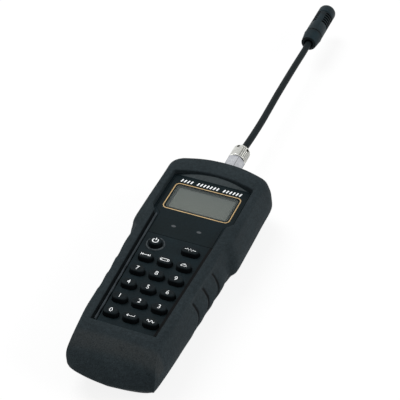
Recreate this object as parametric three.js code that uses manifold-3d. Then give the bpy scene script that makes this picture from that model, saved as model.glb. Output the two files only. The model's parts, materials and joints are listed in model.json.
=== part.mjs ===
import * as THREE from 'three';
import { mergeVertices } from 'three/addons/utils/BufferGeometryUtils.js';
import Module from 'manifold-3d';

const wasm = await Module();
wasm.setup();

// Hand-held belt tension tester: a keypad meter in a moulded rubber boot, with a microphone
// on a bendable stem plugged into its head. Millimetres. The origin is the centre of the flat
// back, +Z leaves the display side and +Y runs towards the microphone.

// Body
const bodyLength = 202;
const bodyWidth = 77;
const bodyDepth = 39.5;
const seatGap = 0.3;
const cutOverrun = 2;
const halfLength = bodyLength / 2;
const halfWidth = bodyWidth / 2;

// Boot
const bootBack = 3;
const lipDepth = 3.9;
const dentDepth = 1.3;
const dentLean = 5;
const cornerFullness = 1.7;
const footStart = -halfLength * 0.594;
const headStart = halfLength * 0.653;
const gripFoot = -halfLength * 0.28;
const waistFoot = halfLength * 0.08;
const waistHead = halfLength * 0.24;

// Plan outline of the widest level, foot to head: width share, length share, grip dent share,
// corner share
const outlineShares = [
  [0, -1, 0, 0], [0.26, -0.99, 0, 0], [0.49, -0.973, 0, 0.15], [0.64, -0.953, 0, 0.6],
  [0.718, -0.929, 0, 1], [0.753, -0.892, 0, 0.8], [0.778, -0.8, 0, 0.25], [0.805, -0.66, 0, 0],
  [0.833, -0.53, 0, 0], [0.852, -0.445, 0.35, 0], [0.862, -0.41, 1, 0], [0.868, -0.37, 0, 0],
  [0.876, -0.31, 0.35, 0], [0.886, -0.273, 1, 0], [0.892, -0.232, 0, 0], [0.9, -0.156, 0.35, 0],
  [0.911, -0.119, 1, 0], [0.915, -0.078, 0, 0], [0.92, 0, 0, 0], [0.93, 0.085, 0, 0],
  [0.938, 0.115, 0, 0], [0.958, 0.165, 0, 0], [0.992, 0.205, 0, 0], [1, 0.27, 0, 0],
  [1, 0.45, 0, 0], [0.997, 0.65, 0, 0], [0.993, 0.77, 0, 0.25], [0.975, 0.84, 0, 0.8],
  [0.925, 0.889, 0, 1], [0.83, 0.925, 0, 1], [0.67, 0.953, 0, 0.6], [0.465, 0.979, 0, 0.2],
  [0.235, 0.995, 0, 0], [0, 1, 0, 0],
];
const smoothShares = outlineShares.filter((row) => row[2] === 0);

// Boot levels: height share of the depth, width shares of head, grip and foot, reach shares of
// foot and head, dent, lean, fullness of the foot and head corners
const bootLevelShares = [
  [0, 0.751, 0.741, 0.751, 0.842, 0.906, 0.2, 0, 0, 0],
  [0.03, 0.791, 0.781, 0.791, 0.861, 0.921, 0.3, -0.2, 0, 0.2],
  [0.228, 0.902, 0.887, 0.907, 0.932, 0.965, 0.7, -0.6, 0, 0.6],
  [0.367, 0.974, 0.959, 0.98, 0.975, 0.99, 1, -0.4, 0, 0.6],
  [0.4633, 1, 0.985, 1.013, 0.997, 1, 1, 0, 0.1, 0.5],
  [0.582, 0.993, 0.964, 1.011, 0.984, 0.992, 1, 0.85, 0.5, 0.5],
  [0.747, 0.955, 0.921, 0.973, 0.945, 0.972, 0.8, 1, 0.8, 0.85],
  [0.894, 0.912, 0.877, 0.927, 0.876, 0.952, 0.3, 0.6, 0.75, 0.85],
  [0.967, 0.887, 0.854, 0.9, 0.822, 0.942, 0, 0.2, 0.5, 0.3],
  [1, 0.855, 0.821, 0.867, 0.78, 0.928, 0, 0, 0.4, 0],
];

// Windows of the boot
const windowHeadHalf = halfWidth * 0.7351;
const windowArcEnd = halfLength * 0.7426;
const windowArcRise = 5.2;
const windowStep = halfLength * 0.3366;
const windowStepHalf = halfWidth * 0.6468;
const windowFootHalf = halfWidth * 0.5506;
const windowFoot = -halfLength * 0.7178;
const windowArcSteps = 10;
const backWindowRim = 2.2;
const backWindowCorner = 4;
const socketHoleRim = 0.8;
const socketHoleFoot = halfLength * 0.91;

// Hollow of the boot, from its floor to its lip: height share, width share, foot and head shares
const floorHeight = bootBack + seatGap;
const lipFoot = bodyDepth - lipDepth;
const cavityLevelShares = [
  [0, 0.751, 0.837, 0.891],
  [0.1765, 0.821, 0.896, 0.931],
  [0.4644, 0.922, 0.963, 0.965],
  [0.8111, 0.852, 0.889, 0.935],
  [1, 0.801, 0.797, 0.915],
];
const cavityLevels = cavityLevelShares.map(([heightShare, ...widths]) => [
  floorHeight + heightShare * (lipFoot - floorHeight),
  ...widths,
]);

// Housing
const frontHeight = lipFoot - seatGap;
const frontWall = 2.6;
const sideWall = 2.2;
const backWall = 1.8;
const partingHeight = bodyDepth * 0.4177;
const railWidth = 0.8;
const railHeight = 1.1;
const railInset = 0.8;
const grooveWidth = 0.9;
const grooveDepth = 1.3;
const railFoot = windowFoot + railInset * 3.5;
const browRise = 2.2;
const browSlopeLength = 4.6;

// Keys
const keyRowCount = 5;
const keyPitchX = windowFootHalf * 0.6132;
const keyPitchY = halfLength * 0.1304;
const keyFoot = -halfLength * 0.607;
const keyWidth = keyPitchX * 0.8;
const keyLength = keyPitchY * 0.5467;
const measureWidth = keyWidth * 1.192;
const measureX = keyPitchX * 0.8846;
const powerX = -keyPitchX * 0.9615;
const powerRadius = keyPitchY * 0.3265;
const topRowLift = 1.15;
const topRowY = keyFoot + keyRowCount * keyPitchY + topRowLift;
const keyStand = 4.2;
const keyTravel = 0.9;
const keyFlange = 0.7;
const keyFlangeThickness = 1;
const keyCrown = 1.1;
const keyEdge = 0.9;
const keyEndSteps = 5;
const matThickness = 1.4;
const matMargin = 2.2;
const padRadius = 2.6;
const ringMargin = 1.9;
const ringRadius = powerRadius + ringMargin;
const ringWidth = 0.9;
const ringHeight = 0.7;

// Label plate, window and display
const plateInset = 1.4;
const plateHeadHalf = windowHeadHalf - plateInset;
const plateHead = windowArcEnd;
const plateStep = windowStep + plateInset;
const plateStepHalf = windowStepHalf - plateInset * 1.86;
const plateFootMargin = 3.3;
const plateFoot = topRowY + ringRadius + plateFootMargin;
const plateThickness = 1.2;
const plateCorner = 1;
const glassSide = 4.8;
const glassHeadMargin = 8.7;
const glassFootMargin = 6.8;
const glassHalf = plateHeadHalf - glassSide;
const glassHead = plateHead - glassHeadMargin;
const glassFoot = plateStep + glassFootMargin;
const glassCorner = 2.4;
const glassRim = 1.7;
const screenLift = 0.5;
const screenHalf = glassHalf - glassRim;
const screenHead = glassHead - glassRim + screenLift;
const screenFoot = glassFoot + glassRim + screenLift;
const bezelMargin = 4.2;
const bezelThickness = 1.5;
const lcdMargin = 3;
const lcdThickness = 2;
const backlightThickness = 1.4;
const zebraWidth = 2;
const boardThickness = 1.6;
const wallUnder = frontHeight - frontWall;
const bezelTop = wallUnder - seatGap;
const bezelFoot = bezelTop - bezelThickness;
const lcdTop = bezelFoot - seatGap;
const lcdFoot = lcdTop - lcdThickness;
const boardTop = lcdFoot - seatGap * 2 - backlightThickness;
const boardUnder = boardTop - boardThickness;

// Case screws
const screwX = halfWidth * 0.6104;
const screwFootX = halfWidth * 0.4935;
const screwHeadY = halfLength * 0.8119;
const screwFootY = -halfLength * 0.7475;
const screwRadius = 1.5;
const screwHeadRadius = 2.7;
const screwHeadThickness = 1.6;
const screwLength = bodyDepth * 0.405;
const screwSlot = 0.8;
const bossRadius = 3.3;
const bossFoot = bodyDepth * 0.2127;

// Socket and plug, turned about the probe axis
const probeHeight = bodyDepth * 0.5671;
const headRoom = 3.6;
const socketPadLength = 7;
const socketPadRadius = 7.6;
const socketPadTip = halfLength - headRoom;
const socketSeat = socketPadTip - socketPadLength;
const socketTailLength = 8.4;
const socketTail = socketSeat - socketTailLength;
const socketTailRadius = 3.6;
const socketFlangeRadius = 6.6;
const socketFlangeThickness = 1.6;
const socketRadius = 4.5;
const socketReach = 12.6;
const socketTip = socketPadTip + socketReach;
const socketBore = 3.1;
const socketBoreDepth = 12;
const washerThickness = 0.7;
const washerRadius = 7;
const socketNutAcross = 12.6;
const socketNutThickness = 2.6;
const couplingRoom = 5.2;
const couplingFoot = socketPadTip + couplingRoom;
const couplingLength = 14.6;
const couplingTip = couplingFoot + couplingLength;
const couplingAcross = 12.4;
const couplingChamfer = 0.7;
const couplingDegrees = 23.4;
const couplingCollar = 2.2;
const couplingNeck = 3.2;
const plugPinRadius = 2.7;
const plugPinLength = 10;
const plugPinFoot = socketTip - plugPinLength;
const plugFlangeRadius = 4.1;
const plugTailRadius = 4.2;
const plugTailLength = 6.8;
const plugTip = couplingTip + plugTailLength;
const sleeveGap = 0.8;
const sleeveFoot = couplingTip + sleeveGap;
const sleeveLength = 13.4;
const sleeveTip = sleeveFoot + sleeveLength;
const sleeveRadius = 6.35;
const sleeveEndRadius = 4.8;
const sleeveTaper = 2;
const knurlCount = 22;
const knurlDepth = 0.35;
const knurlLength = 9.4;
const grubAngle = -0.33;
const grubRadius = 0.75;
const grubMargin = 3.6;
const grubSink = 1;
const grubLength = 1.8;

// Circuit board
const boardFootMargin = 1.5;
const boardFoot = windowFoot - boardFootMargin;
const boardHeadMargin = 4;
const boardHead = socketTail - boardHeadMargin;
const boardSideMargin = 1.6;
const boardFootHalf = windowFootHalf - boardSideMargin;
const boardHeadHalf = windowHeadHalf - boardSideMargin * 1.7;
const boardStep = windowStep - boardHeadMargin;
const beeperRadius = 6;
const beeperHeight = 4.6;
const beeperX = keyPitchX;
const beeperY = halfLength * 0.297;
const beeperPortRadius = 1;

// Battery
const batteryWidth = halfWidth * 0.6883;
const batteryLength = halfLength * 0.4594;
const batteryHead = -halfLength * 0.2178;
const batteryRoom = 0.5;
const batteryCorner = 2.4;
const doorThickness = 1.8;
const bayWall = 1.1;
const doorFace = floorHeight + seatGap;
const doorInner = doorFace + doorThickness;
const batteryUnder = doorInner + seatGap;
const batteryDepth = boardUnder - batteryUnder - seatGap - bayWall - batteryRoom;
const batteryTop = batteryUnder + batteryDepth;
const batteryFoot = batteryHead - batteryLength;
const studRadius = 3.4;
const studHeight = 2;
const snapThickness = 2.6;
const snapMargin = 0.75;
const snapDepth = batteryDepth * 0.66;
const snapCorner = 2;
const doorMargin = 2.4;
const doorCorner = 3;
const bayHalf = batteryWidth / 2 + seatGap;
const bayFoot = batteryFoot - seatGap;
const bayHead = batteryHead + studHeight + snapThickness + seatGap * 2;
const bayTop = batteryTop + seatGap;
const doorHalf = bayHalf + doorMargin;
const doorFoot = bayFoot - doorMargin;
const doorHead = bayHead + doorMargin;
const doorRibCount = 5;
const doorRibPitch = 2.2;
const doorRibWidth = 1;
const doorRibDepth = 0.6;

// Bendable stem: how far it strays to the right of the probe axis
const stemRadius = 2.36;
const stemFoot = plugTip + seatGap;
const stemLength = 159.5;
const stemTip = stemFoot + stemLength;
const stemSides = 10;
const stemSteps = 14;
const stemBow = 1.1;
const stemBowShares = [
  [0, 0], [0.045, 0.06], [0.09, 0.4], [0.17, 0.8], [0.27, 1], [0.4, 0.74], [0.52, 0.52], [0.64, 0.5],
  [0.75, 0.6], [0.87, 0.8], [0.94, 0.7], [1, 0.64],
];
const micShift = stemBow * 0.64;

// Microphone
const micRadius = 6.88;
const micWall = 1.4;
const collarLength = 11.3;
const collarCover = 9.6;
const collarFoot = stemTip - collarCover;
const collarTip = collarFoot + collarLength;
const collarFootRadius = 5.85;
const collarHeadRadius = 7.1;
const collarMouthRadius = 3.6;
const collarMouthDepth = 7;
const barrelLength = 27;
const barrelTip = collarTip + seatGap + barrelLength;
const slotCount = 5;
const slotColumns = 2;
const slotMargin = 13;
const slotFoot = collarTip + slotMargin;
const slotPitch = 2.9;
const slotWidth = 1.3;
const slotSpanShare = 0.3;
const capLength = 10.2;
const micTip = barrelTip + seatGap + capLength;
const capRound = 2.6;
const spigotLength = 3;
const spigotWall = 1;
const capsuleRadius = 4.6;
const capsuleLength = 6.5;
const capsuleMargin = 14.6;
const capsuleFoot = collarTip + capsuleMargin;
const holderLength = 4;
const holderWireRadius = 1.2;

const turnSteps = 18;
const smallSteps = 10;

// Colours and finishes
const rubber = { color: 0x2d3337, roughness: 0.86, metalness: 0 };
const shell = { color: 0x3a4147, roughness: 0.55, metalness: 0 };
const plateFinish = { color: 0x1f272d, roughness: 0.35, metalness: 0 };
const keyFinish = { color: 0x15181a, roughness: 0.6, metalness: 0 };
const nickel = { color: 0xc4c4c8, roughness: 0.22, metalness: 1 };
const steel = { color: 0xa8a9aa, roughness: 0.35, metalness: 1 };
const clear = { color: 0xb9c4c0, roughness: 0.08, metalness: 0 };
const lcdFinish = { color: 0x6e7370, roughness: 0.3, metalness: 0 };
const boardFinish = { color: 0x245a35, roughness: 0.6, metalness: 0 };
const micFinish = { color: 0x23292d, roughness: 0.5, metalness: 0 };

const instrument = new THREE.Group();

function solidOf(geometry) {
  const bare = geometry.clone();
  for (const name of Object.keys(bare.attributes)) {
    if (name !== 'position') bare.deleteAttribute(name);
  }
  const merged = mergeVertices(bare, 1e-4);
  return new wasm.Manifold(new wasm.Mesh({
    numProp: 3,
    vertProperties: new Float32Array(merged.attributes.position.array),
    triVerts: new Uint32Array(merged.index.array),
  }));
}

function geometryOf(solid) {
  const mesh = solid.getMesh();
  const geometry = new THREE.BufferGeometry();
  geometry.setAttribute('position', new THREE.BufferAttribute(new Float32Array(mesh.vertProperties), 3));
  geometry.setIndex(new THREE.BufferAttribute(new Uint32Array(mesh.triVerts), 1));
  geometry.computeVertexNormals();
  return geometry;
}

function cut(base, tools) {
  return tools.reduce((rest, tool) => rest.subtract(tool), base);
}

function join(base, extras) {
  return extras.reduce((whole, extra) => whole.add(extra), base);
}

function addPiece(name, geometry, finish, place = [0, 0, 0]) {
  const mesh = new THREE.Mesh(geometry, new THREE.MeshStandardMaterial(finish));
  mesh.name = name;
  mesh.position.set(...place);
  instrument.add(mesh);
  return mesh;
}

// Closed skin through rings of equal count, each counter-clockwise seen from above, lowest first
function skinRings(rings) {
  const count = rings[0].length;
  const positions = [];
  const index = [];
  for (const ring of rings) {
    for (const point of ring) positions.push(point.x, point.y, point.z);
  }
  for (let level = 0; level + 1 < rings.length; level += 1) {
    for (let i = 0; i < count; i += 1) {
      const a = level * count + i;
      const b = level * count + ((i + 1) % count);
      index.push(a, b, b + count, a, b + count, a + count);
    }
  }
  for (const [level, flip] of [[0, true], [rings.length - 1, false]]) {
    const centre = positions.length / 3;
    const middle = new THREE.Vector3();
    for (const point of rings[level]) middle.add(point);
    middle.divideScalar(count);
    positions.push(middle.x, middle.y, middle.z);
    for (let i = 0; i < count; i += 1) {
      const a = level * count + i;
      const b = level * count + ((i + 1) % count);
      index.push(centre, flip ? b : a, flip ? a : b);
    }
  }
  const geometry = new THREE.BufferGeometry();
  geometry.setAttribute('position', new THREE.Float32BufferAttribute(positions, 3));
  geometry.setIndex(index);
  return geometry;
}

function smooth(low, high, value) {
  const t = Math.min(1, Math.max(0, (value - low) / (high - low)));
  return t * t * (3 - 2 * t);
}

// One level of the body: the plan outline narrowed at its flanks, drawn in at foot and head
function bodyRing(rows, level) {
  const [height, headWidth, gripWidth, footWidth, footShare, headShare] = level;
  const [dent, lean, footCorner, headCorner] = level.slice(6);
  const foot = -halfLength * footShare;
  const head = halfLength * headShare;
  const half = rows.map(([xShare, yShare, dentShare, cornerShare]) => {
    let y = yShare * halfLength;
    const toGrip = smooth(footStart * 1.25, gripFoot, y) * (gripWidth - footWidth);
    const widthShare = footWidth + toGrip + smooth(waistFoot, waistHead, y) * (headWidth - gripWidth);
    const corner = cornerShare * cornerFullness * (y < 0 ? footCorner : headCorner);
    const grip = smooth(footStart, footStart * 0.8, y) - smooth(-waistFoot, waistFoot * 1.25, y);
    if (y < footStart) y = footStart + (y - footStart) * (foot - footStart) / (-halfLength - footStart);
    if (y > headStart) y = headStart + (y - headStart) * (head - headStart) / (halfLength - headStart);
    const x = xShare * halfWidth * widthShare - dentShare * dent * dentDepth + corner;
    return [x, y + grip * lean * dentLean + Math.sign(y) * corner];
  });
  const ring = half.map(([x, y]) => new THREE.Vector3(x, y, height));
  for (let i = half.length - 2; i > 0; i -= 1) {
    ring.push(new THREE.Vector3(-half[i][0], half[i][1], height));
  }
  return ring;
}

// The hollow of the boot, drawn in all round by a gap or a wall
function hollowRing(level, inset) {
  const [height, widthShare, footShare, headShare] = level;
  const width = widthShare - inset / halfWidth;
  const foot = footShare - inset / halfLength;
  const head = headShare - inset / halfLength;
  return bodyRing(smoothShares, [height, width, width, width, foot, head, 0, 0, 0, 0]);
}

function levelAt(height) {
  const above = cavityLevels.findIndex((level) => level[0] > height);
  const low = cavityLevels[above - 1];
  const high = cavityLevels[above];
  const share = (height - low[0]) / (high[0] - low[0]);
  return low.map((value, i) => value + (high[i] - value) * share);
}

function hollowSolid(low, high, inset) {
  const between = cavityLevels.filter((level) => level[0] > low + seatGap && level[0] < high - seatGap);
  const ends = [low, high].map((height) => {
    const inside = Math.min(Math.max(height, cavityLevels[0][0]), cavityLevels.at(-1)[0] - seatGap / 2);
    const level = levelAt(inside);
    level[0] = height;
    return level;
  });
  return solidOf(skinRings([ends[0], ...between, ends[1]].map((level) => hollowRing(level, inset))));
}

// Flat shapes
function roundedShape(points, radius) {
  const shape = new THREE.Shape();
  points.forEach((point, i) => {
    const before = points[(i + points.length - 1) % points.length];
    const after = points[(i + 1) % points.length];
    const here = new THREE.Vector2(...point);
    const back = new THREE.Vector2(...before).sub(here).normalize().multiplyScalar(radius).add(here);
    const on = new THREE.Vector2(...after).sub(here).normalize().multiplyScalar(radius).add(here);
    if (i === 0) shape.moveTo(back.x, back.y);
    else shape.lineTo(back.x, back.y);
    shape.quadraticCurveTo(here.x, here.y, on.x, on.y);
  });
  shape.closePath();
  return shape;
}

function boxShape(left, foot, right, head, radius) {
  return roundedShape([[left, foot], [right, foot], [right, head], [left, head]], radius);
}

function prism(shape, low, high, curveSegments = 3) {
  const options = { depth: high - low, bevelEnabled: false, curveSegments };
  return new THREE.ExtrudeGeometry(shape, options).translate(0, 0, low);
}

// Round pieces about the probe axis: rows of [radius, y]
function turnedGeometry(rows, shift = 0) {
  const geometry = new THREE.LatheGeometry(rows.map(([r, y]) => new THREE.Vector2(r, y)), turnSteps);
  return geometry.translate(shift, 0, probeHeight);
}

// Shape of the boot's window, drawn in by a gap
function windowShape(gap) {
  const head = windowHeadHalf - gap;
  const step = windowStepHalf - gap;
  const foot = windowFootHalf - gap;
  const arcEnd = windowArcEnd - gap;
  const shoulder = windowStep + windowHeadHalf - windowStepHalf;
  const corners = [[foot, windowFoot + gap], [step, windowStep], [head, shoulder]];
  const radius = (head * head + windowArcRise * windowArcRise) / (2 * windowArcRise);
  const sweep = Math.asin(head / radius);
  const points = corners.slice();
  for (let i = 0; i <= windowArcSteps; i += 1) {
    const angle = sweep - (2 * sweep * i) / windowArcSteps;
    points.push([radius * Math.sin(angle), arcEnd + windowArcRise - radius + radius * Math.cos(angle)]);
  }
  for (const [x, y] of corners.slice().reverse()) points.push([-x, y]);
  const shape = new THREE.Shape();
  points.forEach(([x, y], i) => (i === 0 ? shape.moveTo(x, y) : shape.lineTo(x, y)));
  shape.closePath();
  return shape;
}

// Boot
const bootOuter = solidOf(skinRings(bootLevelShares.map(
  ([heightShare, ...shares]) => bodyRing(outlineShares, [heightShare * bodyDepth, ...shares]),
)));
const bootHollow = solidOf(skinRings(cavityLevels.map((level) => hollowRing(level, 0))));
const frontWindow = solidOf(prism(windowShape(0), lipFoot - cutOverrun, bodyDepth + cutOverrun));
const backWindow = solidOf(prism(boxShape(
  -doorHalf - backWindowRim,
  doorFoot - backWindowRim,
  doorHalf + backWindowRim,
  doorHead + backWindowRim,
  backWindowCorner,
), -cutOverrun, bootBack + cutOverrun));
const socketHoleRadius = socketPadRadius + socketHoleRim;
const socketHole = solidOf(turnedGeometry([
  [0, socketHoleFoot], [socketHoleRadius, socketHoleFoot],
  [socketHoleRadius, halfLength + cutOverrun], [0, halfLength + cutOverrun],
]));
addPiece('holster', geometryOf(cut(bootOuter, [bootHollow, frontWindow, backWindow, socketHole])), rubber);

// Keys: [name, x, y, half width, half length]
const keyNames = [
  ['zero', 'select', 'hertz'], ['one', 'two', 'three'], ['four', 'five', 'six'],
  ['seven', 'eight', 'nine'], ['width', 'span', 'mass'],
];
const keys = [];
for (let row = 0; row < keyRowCount; row += 1) {
  keyNames[row].forEach((name, column) => keys.push({
    name: `key_${name}`,
    x: (column - 1) * keyPitchX,
    y: keyFoot + row * keyPitchY,
    halfX: keyWidth / 2,
    halfY: keyLength / 2,
  }));
}
keys.push({ name: 'key_power', x: powerX, y: topRowY, halfX: powerRadius, halfY: powerRadius });
keys.push({ name: 'key_measure', x: measureX, y: topRowY, halfX: measureWidth / 2, halfY: keyLength / 2 });

// Key outline with round ends, grown by a margin
function keyRing(key, margin, height) {
  const radius = key.halfY + margin;
  const reach = Math.max(0, key.halfX - key.halfY);
  const ring = [];
  for (let side = 0; side < 2; side += 1) {
    for (let i = 0; i < keyEndSteps; i += 1) {
      const angle = Math.PI * (side + (i + 0.5) / keyEndSteps) - Math.PI / 2;
      const shift = side === 0 ? reach : -reach;
      ring.push(new THREE.Vector3(shift + radius * Math.cos(angle), radius * Math.sin(angle), height));
    }
  }
  return ring;
}

const keyTop = frontHeight + keyStand;
const flangeTop = wallUnder - seatGap;
const flangeFoot = flangeTop - keyFlangeThickness;
for (const key of keys) {
  const rings = [
    keyRing(key, keyFlange, flangeFoot),
    keyRing(key, keyFlange, flangeTop),
    keyRing(key, 0, flangeTop + seatGap / 2),
    keyRing(key, 0, keyTop - keyCrown - keyEdge),
    keyRing(key, -keyEdge * 0.45, keyTop - keyCrown),
    keyRing(key, -keyEdge * 1.8, keyTop - keyCrown * 0.2),
  ];
  addPiece(key.name, skinRings(rings), keyFinish, [key.x, key.y, 0]);
}

// Front housing
function boss(x, y, low, high, radius) {
  const geometry = new THREE.CylinderGeometry(radius, radius, high - low, smallSteps);
  return solidOf(geometry.rotateX(Math.PI / 2).translate(x, y, (low + high) / 2));
}
const screwPlaces = [
  [screwX, screwHeadY], [-screwX, screwHeadY], [screwFootX, screwFootY], [-screwFootX, screwFootY],
];
const plateShape = (gap) => roundedShape([
  [-plateStepHalf + gap, plateFoot + gap], [plateStepHalf - gap, plateFoot + gap],
  [plateStepHalf - gap, plateStep], [plateHeadHalf - gap, plateStep + (plateHeadHalf - plateStepHalf)],
  [plateHeadHalf - gap, plateHead - gap], [-plateHeadHalf + gap, plateHead - gap],
  [-plateHeadHalf + gap, plateStep + (plateHeadHalf - plateStepHalf)], [-plateStepHalf + gap, plateStep],
], plateCorner);
const recessFloor = frontHeight - plateThickness - seatGap;

// Strip along one side of the keypad, between two distances in from the boot's window
const sideSlope = (windowStepHalf - windowFootHalf) / (windowStep - windowFoot);
const sideAt = (y) => windowFootHalf + (y - windowFoot) * sideSlope;
function sideStrip(side, outer, inner, head) {
  const strip = new THREE.Shape();
  strip.moveTo(side * (sideAt(railFoot) - outer), railFoot);
  strip.lineTo(side * (sideAt(head) - outer), head);
  strip.lineTo(side * (sideAt(head) - inner), head);
  strip.lineTo(side * (sideAt(railFoot) - inner), railFoot);
  strip.closePath();
  return strip;
}
const railInner = railInset + railWidth;
const rails = [-1, 1].map((side) => solidOf(prism(
  sideStrip(side, railInset, railInner, windowStep - railInset),
  frontHeight - frontWall / 2,
  frontHeight + railHeight,
)));
const grooves = [-1, 1].map((side) => solidOf(prism(
  sideStrip(side, railInner, railInner + grooveWidth, plateFoot + seatGap),
  frontHeight - grooveDepth,
  frontHeight + cutOverrun,
)));
const browShape = new THREE.Shape();
browShape.moveTo(plateHead + seatGap, frontHeight - frontWall / 2);
browShape.lineTo(halfLength, frontHeight - frontWall / 2);
browShape.lineTo(halfLength, frontHeight + browRise);
browShape.lineTo(plateHead + seatGap + browSlopeLength, frontHeight + browRise);
browShape.lineTo(plateHead + seatGap, frontHeight);
browShape.closePath();
const browBlock = solidOf(
  new THREE.ExtrudeGeometry(browShape, { depth: bodyWidth, bevelEnabled: false })
    .rotateY(Math.PI / 2).rotateX(Math.PI / 2).translate(-bodyWidth / 2, 0, 0),
);
const brow = browBlock.intersect(solidOf(prism(
  windowShape(seatGap), frontHeight - frontWall, frontHeight + browRise + cutOverrun,
)));
const powerRing = solidOf(new THREE.LatheGeometry([
  [ringRadius - ringWidth, -frontWall / 2], [ringRadius, -frontWall / 2],
  [ringRadius - ringWidth * 0.3, ringHeight], [ringRadius - ringWidth * 0.7, ringHeight],
  [ringRadius - ringWidth, -frontWall / 2],
].map(([r, y]) => new THREE.Vector2(r, y)), turnSteps)
  .rotateX(Math.PI / 2).translate(powerX, topRowY, frontHeight));
const keyHoles = keys.map((key) => solidOf(skinRings([
  keyRing(key, seatGap, wallUnder - cutOverrun),
  keyRing(key, seatGap, frontHeight + cutOverrun),
])).translate([key.x, key.y, 0]));
const screenHole = solidOf(prism(boxShape(
  -screenHalf - seatGap, screenFoot - seatGap, screenHalf + seatGap, screenHead + seatGap, plateCorner,
), wallUnder - cutOverrun, frontHeight));
const shellBore = solidOf(turnedGeometry([
  [0, socketSeat - cutOverrun], [socketRadius + seatGap, socketSeat - cutOverrun],
  [socketRadius + seatGap, socketPadTip + cutOverrun], [0, socketPadTip + cutOverrun],
]));
const partingBlock = solidOf(new THREE.BoxGeometry(bodyWidth, bodyLength, bodyDepth)
  .translate(0, 0, partingHeight + seatGap / 2 + bodyDepth / 2));
const socketPad = solidOf(turnedGeometry([
  [0, socketSeat + seatGap], [socketPadRadius, socketSeat + seatGap],
  [socketPadRadius, socketPadTip], [0, socketPadTip],
])).intersect(partingBlock);
const frontBlank = hollowSolid(partingHeight + seatGap / 2, frontHeight, seatGap);
const frontOuter = join(frontBlank, [...rails, brow, powerRing]);
const frontInner = hollowSolid(partingHeight - cutOverrun, wallUnder, seatGap + sideWall);
const bossTrim = hollowSolid(bossFoot - cutOverrun, frontHeight, seatGap * 2 + sideWall);
const frontBosses = screwPlaces.map(([x, y]) => (
  boss(x, y, bossFoot, wallUnder + frontWall / 2, bossRadius).intersect(bossTrim)
));
const screwTop = doorFace + backWall + screwLength;
const bossBores = screwPlaces.map(([x, y]) => (
  boss(x, y, bossFoot - cutOverrun, screwTop + seatGap, screwRadius + seatGap)
));
const frontShell = cut(join(frontOuter.subtract(frontInner), [...frontBosses, socketPad]), [
  ...bossBores,
  ...keyHoles,
  ...grooves,
  solidOf(prism(plateShape(0), recessFloor, frontHeight + cutOverrun)),
  screenHole,
  shellBore,
]);
addPiece('housing_front', geometryOf(frontShell), shell);

// Label plate, its clear window and the display behind it
const glassHole = boxShape(-glassHalf, glassFoot, glassHalf, glassHead, glassCorner);
addPiece('display_panel', geometryOf(
  solidOf(prism(plateShape(seatGap), recessFloor + seatGap, frontHeight))
    .subtract(solidOf(prism(glassHole, recessFloor, frontHeight + cutOverrun))),
), plateFinish);
addPiece('display_window', prism(
  boxShape(-glassHalf + seatGap, glassFoot + seatGap, glassHalf - seatGap, glassHead - seatGap, glassCorner),
  recessFloor + seatGap,
  frontHeight,
), clear);
const bezelHalf = screenHalf + bezelMargin;
addPiece('lcd_bezel', geometryOf(
  solidOf(prism(boxShape(
    -bezelHalf, screenFoot - bezelMargin, bezelHalf, screenHead + bezelMargin, plateCorner,
  ), bezelFoot, bezelTop)).subtract(solidOf(prism(boxShape(
    -screenHalf, screenFoot, screenHalf, screenHead, plateCorner,
  ), bezelFoot - cutOverrun, bezelTop + cutOverrun))),
), keyFinish);
const lcdFootY = screenFoot - lcdMargin;
const lcdPlate = solidOf(prism(
  boxShape(-screenHalf - lcdMargin, lcdFootY, screenHalf + lcdMargin, screenHead + lcdMargin, plateCorner),
  lcdFoot,
  lcdTop,
));
const lcdFace = solidOf(prism(boxShape(
  -screenHalf + seatGap, screenFoot + seatGap, screenHalf - seatGap, screenHead - seatGap, plateCorner,
), lcdFoot + lcdThickness / 2, recessFloor));
addPiece('lcd_glass', geometryOf(join(lcdPlate, [lcdFace])), lcdFinish);
addPiece('lcd_backlight', prism(
  boxShape(-screenHalf, lcdFootY + zebraWidth + seatGap, screenHalf, screenHead + lcdMargin, plateCorner),
  boardTop + seatGap,
  lcdFoot - seatGap,
), { color: 0xd8dcd6, roughness: 0.6, metalness: 0 });
addPiece('zebra_strip', prism(
  boxShape(-screenHalf, lcdFootY, screenHalf, lcdFootY + zebraWidth, zebraWidth / 4),
  boardTop + seatGap,
  lcdFoot - seatGap,
), rubber);

// Circuit board with the key mat and the beeper
const boardShape = roundedShape([
  [-boardFootHalf, boardFoot], [boardFootHalf, boardFoot], [boardFootHalf, boardStep],
  [boardHeadHalf, boardStep + (boardHeadHalf - boardFootHalf)], [boardHeadHalf, boardHead],
  [-boardHeadHalf, boardHead], [-boardHeadHalf, boardStep + (boardHeadHalf - boardFootHalf)],
  [-boardFootHalf, boardStep],
], plateCorner);
addPiece('main_board', geometryOf(cut(
  solidOf(prism(boardShape, boardUnder, boardTop)),
  screwPlaces.map(([x, y]) => (
    boss(x, y, boardUnder - cutOverrun, boardTop + cutOverrun, bossRadius + seatGap)
  )),
)), boardFinish);
const padTop = flangeFoot - keyTravel - seatGap / 2;
const matHalf = keyPitchX + keyWidth / 2 + matMargin / 2;
const matFoot = keyFoot - keyLength / 2 - matMargin;
addPiece('keypad_mat', geometryOf(join(
  solidOf(prism(
    boxShape(-matHalf, matFoot, matHalf, topRowY + powerRadius + matMargin, matMargin),
    boardTop + seatGap,
    boardTop + seatGap + matThickness,
  )),
  keys.map((key) => boss(key.x, key.y, boardTop + seatGap + matThickness / 2, padTop, padRadius)),
)), { color: 0x3c4246, roughness: 0.9, metalness: 0 });
const beeper = new THREE.LatheGeometry([
  [0, 0], [beeperRadius, 0], [beeperRadius, beeperHeight], [beeperPortRadius, beeperHeight],
  [beeperPortRadius, beeperHeight / 2], [0, beeperHeight / 2],
].map(([r, y]) => new THREE.Vector2(r, y)), turnSteps).rotateX(-Math.PI / 2);
addPiece('beeper', beeper, keyFinish, [beeperX, beeperY, boardUnder - seatGap]);

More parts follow.
